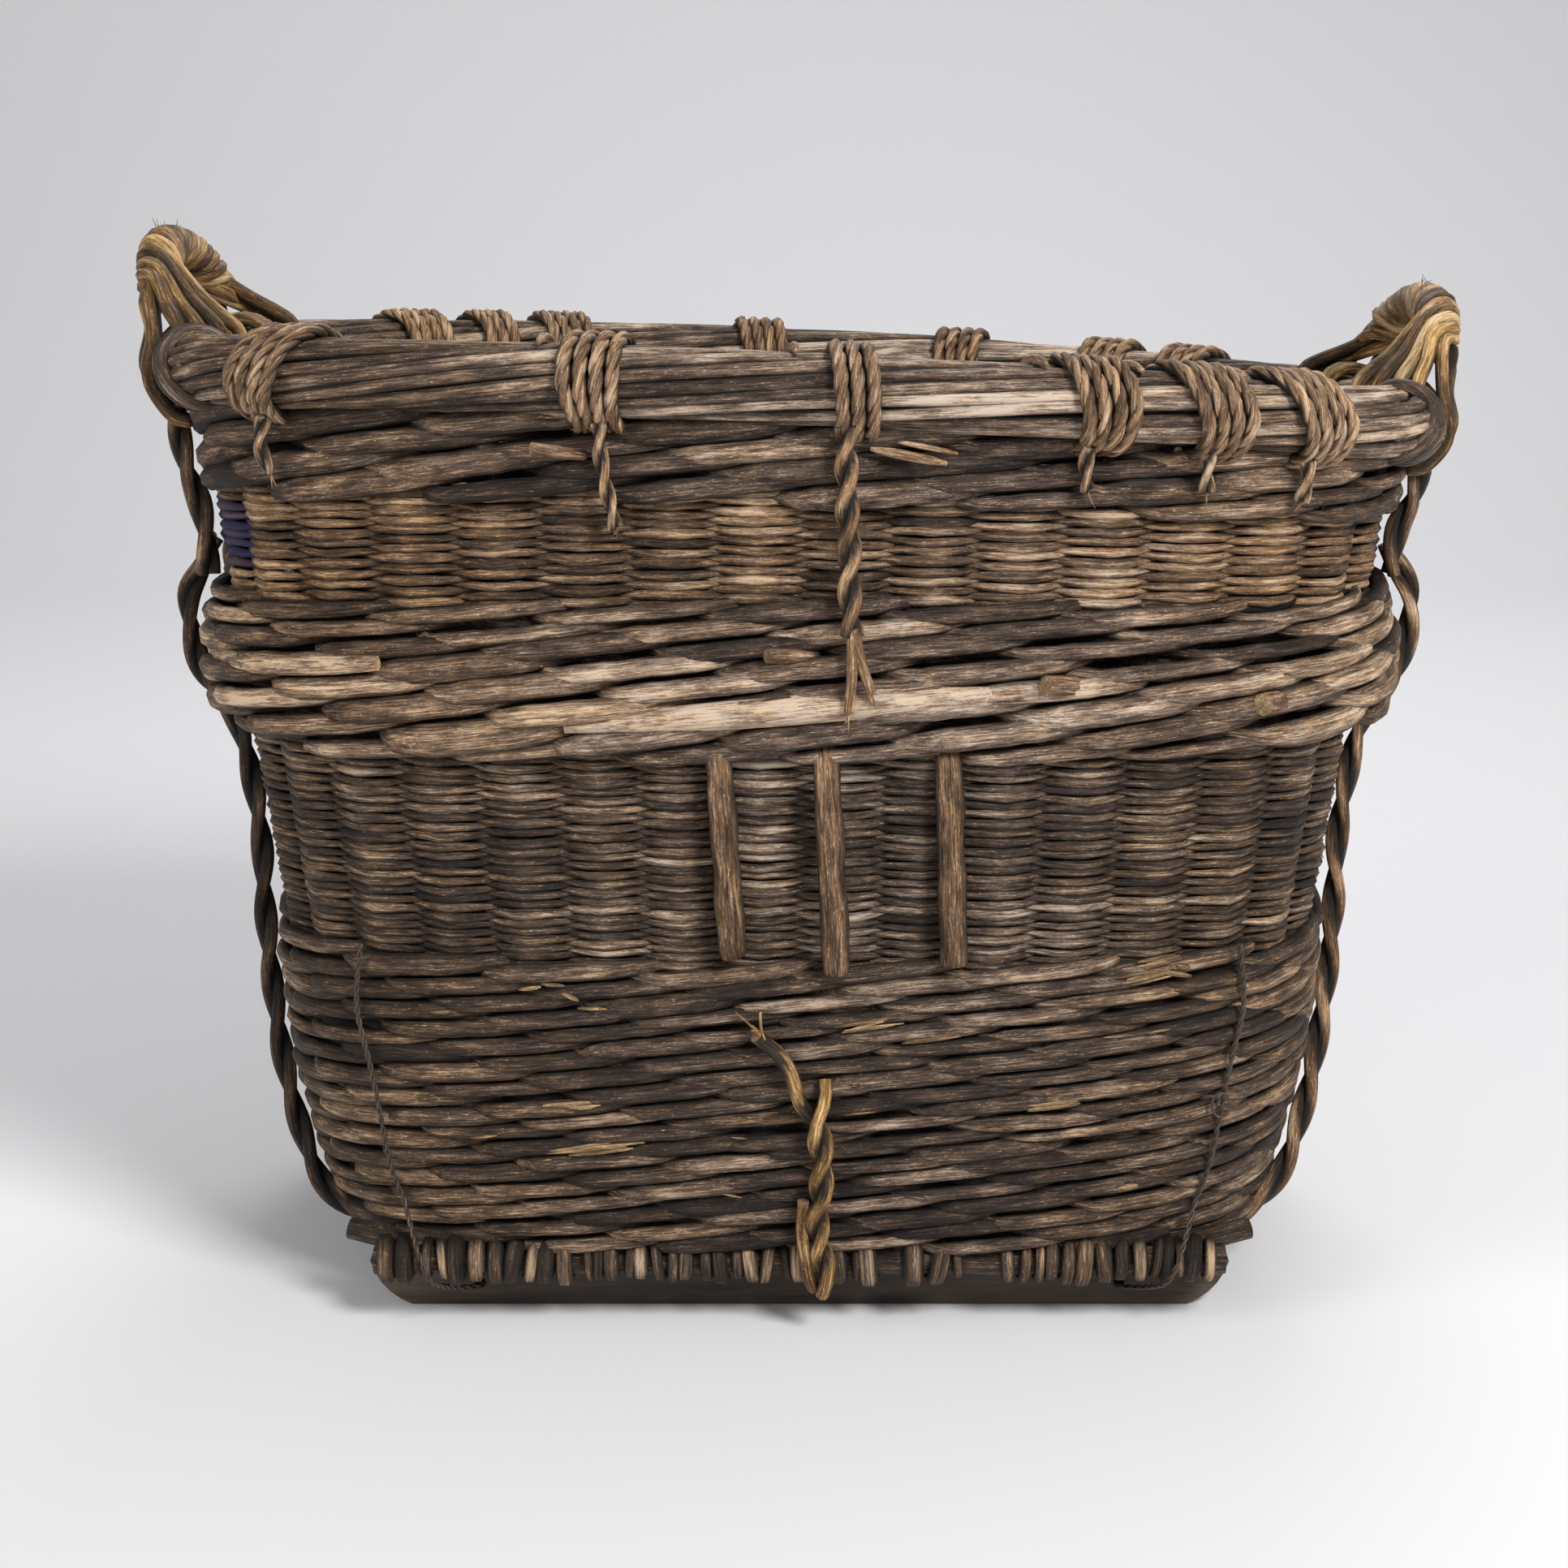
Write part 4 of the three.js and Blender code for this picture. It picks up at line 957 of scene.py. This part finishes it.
def add_end_ropes():
    # Heights down each rope, and how far it stands out there
    upper = [(RIM_Z + 8, 22), (RIM_Z - 10, 24.5), (COLLAR_Z + 4, 24)]
    upper += [(COLLAR_Z - 14, 19), (NECK_Z + 16, 18.5), (NECK_Z + 1, 20)]
    lower = [(NECK_Z + 16, 17), (NECK_Z + 1, 28), (NECK_Z - 20, 39), (NECK_Z - 50, 41)]
    lower += [(WAIST_Z + 16, 37.5), (WAIST_Z - 8, 24), (WAIST_Z - 40, 19)]
    lower += [(SHOULDER_Z + 40, 19.5), (SHOULDER_Z + 8, 23.5), (SHOULDER_Z - 14, 24)]
    lower += [(SHOULDER_Z - 60, 23.5), (SHOULDER_Z - 110, 23.5)]
    lower += [(FOOT_Z + 45, 23), (FOOT_Z + 15, 21), (FOOT_Z - 4, 11), (FOOT_Z - 14, -6)]
    for (end_name, end), tone, warmth in zip(ENDS, (0.27, 0.34), (0.5, 0.75)):
        for side_name, side in SIDES:
            for level, route, lay in (("upper", upper, 84.0), ("lower", lower, 92.0)):
                points = []
                for z, proud in route:
                    slide = np.clip((SHOULDER_Z - z) / (SHOULDER_Z - FOOT_Z), 0, 1) ** 2
                    y = 118 if level == "upper" else lerp(84, 140, slide)
                    points.append(end_point(side * y, z, proud, end))
                path = smooth_path(lifted(points), 3.6)
                strands = twisted(path, 2, 4.3, 3.5, lay * end * side, tone, warmth, 0.0, rng.uniform(0, 6))
                node_name = f"end_rope_{level}_{end_name}_{side_name}"
                laid(node_name + "_strands", strands, "willow_warm", node_name, sides=8)


# Sticks, ties and wires


def add_sticks_and_ties():
    places = (("left", -49, -41, 257), ("centre", 15, 22, 246), ("right", 88, 93, 252))
    for name, top_x, foot_x, foot_z in places:
        z = np.r_[foot_z, np.linspace(foot_z + 6, WAIST_Z - 10, 12), WAIST_Z - 3, WAIST_Z + 5]
        proud = np.r_[17.5, np.full(12, 18.0), 14.5, 9.0]
        x = lerp(foot_x, top_x, (z - foot_z) / (WAIST_Z - foot_z)) + drift(z, 0.3)
        points = lifted([side_point(xx, zz, out, -1) for xx, zz, out in zip(x, z, proud)])
        thickness = np.linspace(8.8, 8.2, len(z)) * (1 + 0.05 * np.sin(z / 9 + top_x))
        facing = np.tile([0.0, -1.0, 0.0], (len(z), 1))
        stick = [rod(points, thickness, 0.3, 0.6, 0.0, facing=facing)]
        node_name = f"upright_stick_{name}"
        laid(node_name + "_rod", stick, "willow_warm", node_name, sides=12)

    # The long tail of the middle lashing parts into two strands
    line = [(26, RIM_Z + 2, 27), (26, COLLAR_Z + 16, 24), (28, COLLAR_Z - 26, 21)]
    line += [(28, NECK_Z + 8, 26), (30, NECK_Z - 16, 33)]
    strands, _ = hanging(line, 4.1, 50.0, 0.5, 0.8)
    to_right = [(35, NECK_Z - 32, 34), (41, NECK_Z - 50, 33)]
    to_left = [(30, NECK_Z - 36, 34), (28, NECK_Z - 62, 34)]
    for split in (to_right, to_left):
        end = down_front([(30, NECK_Z - 12, 33)] + split)
        strands.append(rod(end, np.linspace(3.9, 3.0, len(end)), 0.52, 0.8, 0.05))
        strands += frayed(end[-1], end[-1] - end[-3], 4, 9, 0.2, 0.9)
    laid("long_tail_strands", strands, "willow_tie", "lashing_tail_long", sides=8)

    # The tie low at the centre of the front: two strands, and a third that joins them at the foot
    tie = [(-24, 207), (-12, 186), (2, 165), (12, 139), (13, 110), (11, 80), (13, FOOT_Z - 2)]
    path = smooth_path([side_point(x, z, 22.0, -1) for x, z in tie] + [[15, -229, 37], [16, -226, 29]], 4.0)
    across, beyond = sections(path)
    run = lengths_along(path)
    begin = int(np.argmin(np.abs(path[:, 2] - 150)))
    turn = 2 * np.pi * (run - run[begin]) / 58.0 + np.pi * (across[begin, 0] > 0)
    offset = at_angle(across, beyond, turn)
    start = [side_point(15, 175, 16, -1), side_point(15.5, 168, 20.5, -1), side_point(14, 159, 22, -1)]
    second = np.vstack([start, (path - 3.9 * offset)[begin:]])
    second_facing = np.vstack([[[0, -1, 0]] * 3, -offset[begin:]])
    strands = [
        rod(path + 3.4 * offset, np.linspace(4.6, 4.2, len(path)), 0.5, 0.7, 0.0, facing=offset),
        rod(second, 4.5, 0.52, 0.8, 0.0, facing=second_facing),
    ]
    strands += frayed(path[1], path[0] - path[3], 6, 16, 0.3, 1.2)
    foot = [side_point(2, 92, 20, -1), side_point(1, 74, 21, -1)]
    foot += [[3, -232, 54], [5, -230, 40], [9, -226, 30]]
    strands.append(rod(smooth_path(foot, 4.0), 3.9, 0.42, 0.5, 0.05))
    laid("base_tie_strands", strands, "willow_gold", "base_tie", sides=8)


def add_wires():
    hole_x, runner_face, edge_face = 206.0, 179.0, 222.5
    route = [(270, SHOULDER_Z + 8), (274, SHOULDER_Z - 34), (266, 170), (258, 110), (250, 80)]
    for end_name, end in ENDS:
        for side_name, side in SIDES:
            points = [side_point(end * x, z, 17.6, side) for x, z in route]
            points += [
                [end * (hole_x + 34), side * (edge_face + 1), FOOT_Z - 2],
                [end * (hole_x + 26), side * (edge_face + 1), RUNNER_HEIGHT + 4],
                [end * (hole_x + 14), side * (runner_face + 20), 20],
                [end * hole_x, side * (runner_face + 5), 15],
                [end * hole_x, side * (runner_face - 6), 15],
            ]
            path = smooth_path(points, 2.2)
            strands = twisted(path, 2, 1.0, 0.95, 15.0, 0.5, 0.3)
            if end > 0:
                knot = np.linspace(0, 2 * np.pi, 16)
                middle = np.array(side_point(262, 150, 19.5, side))
                strands.append(rod(middle + np.c_[5.5 * np.cos(knot), 0 * knot, 8 * np.sin(knot)], 0.9))
            node_name = f"runner_wire_{end_name}_{side_name}"
            placed(rod_piece(node_name + "_strands", strands, [iron_wire]), "iron_wire", node_name)


# Broken rods, stubs and splinters, as an old basket has them


def lying(start, stop, radius, tone, warmth, blunt=0.6):
    """A short rod lying on the front, from one (x, z, proud) to another, thinner at both ends."""
    t = np.linspace(0, 1, 14)
    line = [side_point(*[lerp(a, b, u) for a, b in zip(start, stop)], -1) for u in t]
    shape = np.sin(np.pi * np.clip(t, 0.03, 0.97)) ** blunt
    return rod(lifted(line), radius * shape, tone, warmth, 0.0)


def torn(x, z, length, rise, width, tone):
    """A broken rod: its pale fibres side by side, each of its own length."""
    fibres = []
    for k in np.linspace(-1, 1, 5):
        start, stop = x + rng.uniform(0, 0.3) * length, x + rng.uniform(0.7, 1) * length
        up = z + k * width / 2
        thickness, paleness = rng.uniform(0.8, 1.5), tone + rng.normal(0, 0.12)
        fibres.append(lying((start, up, 13.6), (stop, up + rise, 14.2), thickness, paleness, 0.6, 0.35))
    return fibres


def add_worn_places():
    breaks = [(-164, 153, 42, 4, 4.5, 0.55), (-162, 124, 66, 6, 5.5, 0.6), (20, 208, 44, 5, 5, 0.4)]
    breaks += [(138, 154, 38, 4, 3.5, 0.35), (-30, 146, 30, 3, 3, 0.3), (62, 200, 40, 5, 3.5, 0.35)]
    breaks += [(190, 236, 44, 6, 5, 0.35), (205, 246, 30, 4, 4, 0.3)]
    pale = [fibre for place in breaks for fibre in torn(*place)]
    for x, z in ((-172, 232), (-158, 236), (-146, 231), (230, 245), (222, 241), (198, 95)):
        tip = (x + rng.uniform(8, 18), z + rng.normal(1, 3), 16.0)
        pale.append(lying((x, z, 14.0), tip, rng.uniform(1.4, 2.2), 0.45, 0.6, 0.4))
    for _ in range(14):
        x, z = rng.uniform(-235, 235), rng.uniform(75, 240)
        tip = (x + rng.uniform(6, 22), z + rng.normal(1, 2), 16.2)
        pale.append(lying((x, z, 14.4), tip, rng.uniform(0.5, 1.2), 0.4, 0.6, 0.5))
    placed(rod_piece("torn_splinters", pale, [torn_willow, cut_wood]), "willow_gold")

    thick = [lying((-140, 401, 21), (126, 423, 23), 9.4, 0.9, 0.4, 0.42)]
    thick.append(lying((-366, 430, 23), (-250, 441, 27), 6.0, 0.75, 0.75, 0.12))
    laid("pale_long_rods", thick, "willow_grey", sides=10, cut=torn_willow)

    stubs = []
    for x, z, radius in ((143, 428, 6.0), (274, 414, 6.5), (-20, 446, 4.0), (-155, 546, 3.4)):
        foot, tip = np.array(side_point(x + 30, z - 3, 16, -1)), np.array(side_point(x, z + 1, 33, -1))
        line = lifted(lerp(foot, tip, np.linspace(0, 1, 5)[:, None]))
        stubs.append(rod(line, radius * np.array([0.8, 0.95, 1.05, 1.1, 1.08]), 0.5, 0.4, 0.05))
    stubs.append(lying((40, RIM_Z - 9, 19), (84, RIM_Z - 14, 27), 3.0, 0.7, 0.6, 0.35))
    stubs.append(lying((56, RIM_Z - 5, 20), (90, RIM_Z - 9, 26), 1.8, 0.7, 0.6, 0.35))
    laid("cut_stubs", stubs, "willow_warm", sides=8, cut=torn_willow)


# Base and runners


def add_base():
    middle = RUNNER_HEIGHT + BASE_THICKNESS / 2
    sticks = []
    for i in range(5):
        y = (i - 2) * BASE_STICK_SPACING
        reach = beside(y, BASE_DEPTH / 2, BASE_LENGTH / 2) + 6
        x = np.linspace(-reach, reach, 24)
        sticks.append(rod(np.c_[x, y + drift(x, 0.6), middle + 0 * x], 7.0, 0.35, 0.2, 0.3))
    nodes = [f"base_stick_{i}" for i in range(1, 6)]
    laid("base_sticks", sticks, "willow_dark", *nodes, sides=10)

    ends = []
    for end in (-1, 1):
        line = [[end * 236, -199, 50], [end * 262, -196, 53], [end * 287, -190, 57]]
        ends.append(rod(line, [7.5, 7.5, 7.0], 0.3, 0.3, 0.3))
    laid("base_stick_ends", ends, "willow_dark", sides=12)

    for place, side in SIDES:
        x = np.linspace(-270, 270, 30)
        y = side * EDGE_STICK_Y + drift(x, 0.8)
        stick = [rod(np.c_[x, y, EDGE_STICK_Z + drift(x, 0.6)], 9.0, 0.35, 0.2, 0.25)]
        node_name = f"base_edge_stick_{place}"
        laid(f"base_edge_{place}_rod", stick, "willow_dark", node_name, sides=12)

    weavers = []
    count = 146
    for k in range(count):
        x = lerp(-BASE_LENGTH / 2 + 3, BASE_LENGTH / 2 - 3, k / (count - 1))
        half = BASE_DEPTH / 2 * (1 - min(abs(2 * x / BASE_LENGTH), 0.999) ** 4) ** 0.25 + 9
        y = np.linspace(-half, half, 40)
        wave = np.cos(np.pi * (y / BASE_STICK_SPACING + k))
        points = np.c_[x + rng.normal(0, 0.3) + 0 * y, y, middle + 8.6 * wave]
        thickness = 4.2 * rng.uniform(0.94, 1.04) * (1 - 0.45 * (1 - np.abs(wave)))
        weavers.append(rod(points, thickness, 0.38 + rng.normal(0, 0.12), 0.3, 0.3))
    # Weavers turn round the edge sticks; at the front they are gone from two places
    for side in (-1, 1):
        x = -262.0
        while x < 262:
            width = rng.uniform(2.8, 6.8)
            if not (side == -1 and (46 < x < 64 or 104 < x < 128)):
                turn = np.linspace(-0.75 * np.pi, 0.75 * np.pi, 15)
                y = side * (EDGE_STICK_Y + 11.5 * np.cos(turn))
                low = rng.uniform(7.6, 12)
                z = EDGE_STICK_Z + np.where(turn > 0, 12, low) * np.sin(turn)
                points = np.c_[x + np.linspace(-1.5, 1.5, 15) * rng.normal(0, 1.3), y, z]
                facing = np.tile([0.0, float(side), 0.0], (15, 1))
                tone = rng.choice([0.1, 0.28, 0.5, 0.75], p=[0.25, 0.3, 0.25, 0.2]) + rng.normal(0, 0.06)
                warmth, dirt_and_shade = rng.uniform(0.3, 0.9), rng.uniform(0, 0.35)
                weavers.append(rod(points, width, tone, warmth, dirt_and_shade, facing=facing))
            x += 1.85 * width + abs(rng.normal(0, 2.0))
    laid("base_weavers", weavers, "willow_dark", "base_weave")


def add_runners():
    for place in ("front", "back"):
        board = bpy.data.objects[f"runner_{place}"]
        mesh = board.data.copy()
        shape = bmesh.new()
        shape.from_mesh(mesh)
        bmesh.ops.remove_doubles(shape, verts=shape.verts, dist=1e-5)
        bmesh.ops.dissolve_limit(shape, angle_limit=math.radians(1), verts=shape.verts, edges=shape.edges)
        shape.to_mesh(mesh)
        shape.free()
        piece = new_object(f"runner_board_{place}", mesh)
        mesh.materials.clear()
        mesh.materials.append(runner_wood)
        bevel = piece.modifiers.new("worn edges", "BEVEL")
        bevel.width = 0.0022
        bevel.segments = 2
        bevel.limit_method = "ANGLE"
        placed(piece, "runner_wood", f"runner_{place}")


# Stage


def add_stage():
    profile = bmesh.new()
    line = [(-6.0, 0.0), (2.4, 0.0)]
    line += [(2.4 + 1.2 * math.sin(t), 1.2 - 1.2 * math.cos(t)) for t in np.linspace(0.1, math.pi / 2, 12)]
    line.append((3.6, 6.0))
    verts = [profile.verts.new((-8.0, y, z)) for y, z in line]
    edges = [profile.edges.new((verts[i], verts[i + 1])) for i in range(len(verts) - 1)]
    swept = bmesh.ops.extrude_edge_only(profile, edges=edges)
    moved = [v for v in swept["geom"] if isinstance(v, bmesh.types.BMVert)]
    bmesh.ops.translate(profile, verts=moved, vec=(16.0, 0, 0))
    bmesh.ops.recalc_face_normals(profile, faces=profile.faces)
    for face in profile.faces:
        face.smooth = True
    mesh = bpy.data.meshes.new("pale_floor")
    profile.to_mesh(mesh)
    profile.free()
    floor = new_object("pale_floor", mesh)
    finish, tree, shader = make_finish("pale_floor")
    feed(tree, shader, {"Base Color": (0.84, 0.83, 0.84, 1), "Roughness": 0.8})
    mesh.materials.append(finish)


def add_light(name, place, aim, size, power):
    data = bpy.data.lights.new(name, "AREA")
    data.shape = "DISK"
    data.size = size
    data.energy = power
    lamp = new_object(name, data)
    lamp.location = place
    lamp.rotation_euler = (Vector(aim) - Vector(place)).to_track_quat("-Z", "Y").to_euler()


def add_camera_and_light():
    data = bpy.data.cameras.new("camera")
    data.lens = 74.5
    data.sensor_width = 36
    camera = new_object("camera", data)
    camera.location = (-0.010, -2.138, 0.819)
    camera.rotation_euler = (math.radians(76.42), 0, 0)
    bpy.context.scene.camera = camera
    add_light("key", (1.5, -2.3, 2.4), (0, 0, 0.35), 1.2, 104)
    add_light("fill", (-2.3, -1.6, 1.5), (0, 0, 0.3), 1.8, 30)
    add_light("back", (0.4, 2.2, 2.6), (0, 0, 0.4), 1.6, 34)
    world = bpy.data.worlds.new("soft")
    world.use_nodes = True
    world.node_tree.nodes["Background"].inputs[0].default_value = (0.86, 0.88, 0.92, 1)
    world.node_tree.nodes["Background"].inputs[1].default_value = 0.3
    bpy.context.scene.world = world
    bpy.context.scene.view_settings.view_transform = "Standard"


add_camera_and_light()
add_stage()
add_stakes()
add_wall()
add_border()
add_lashings()
add_handles()
add_end_ropes()
add_sticks_and_ties()
add_wires()
add_worn_places()
add_base()
add_runners()
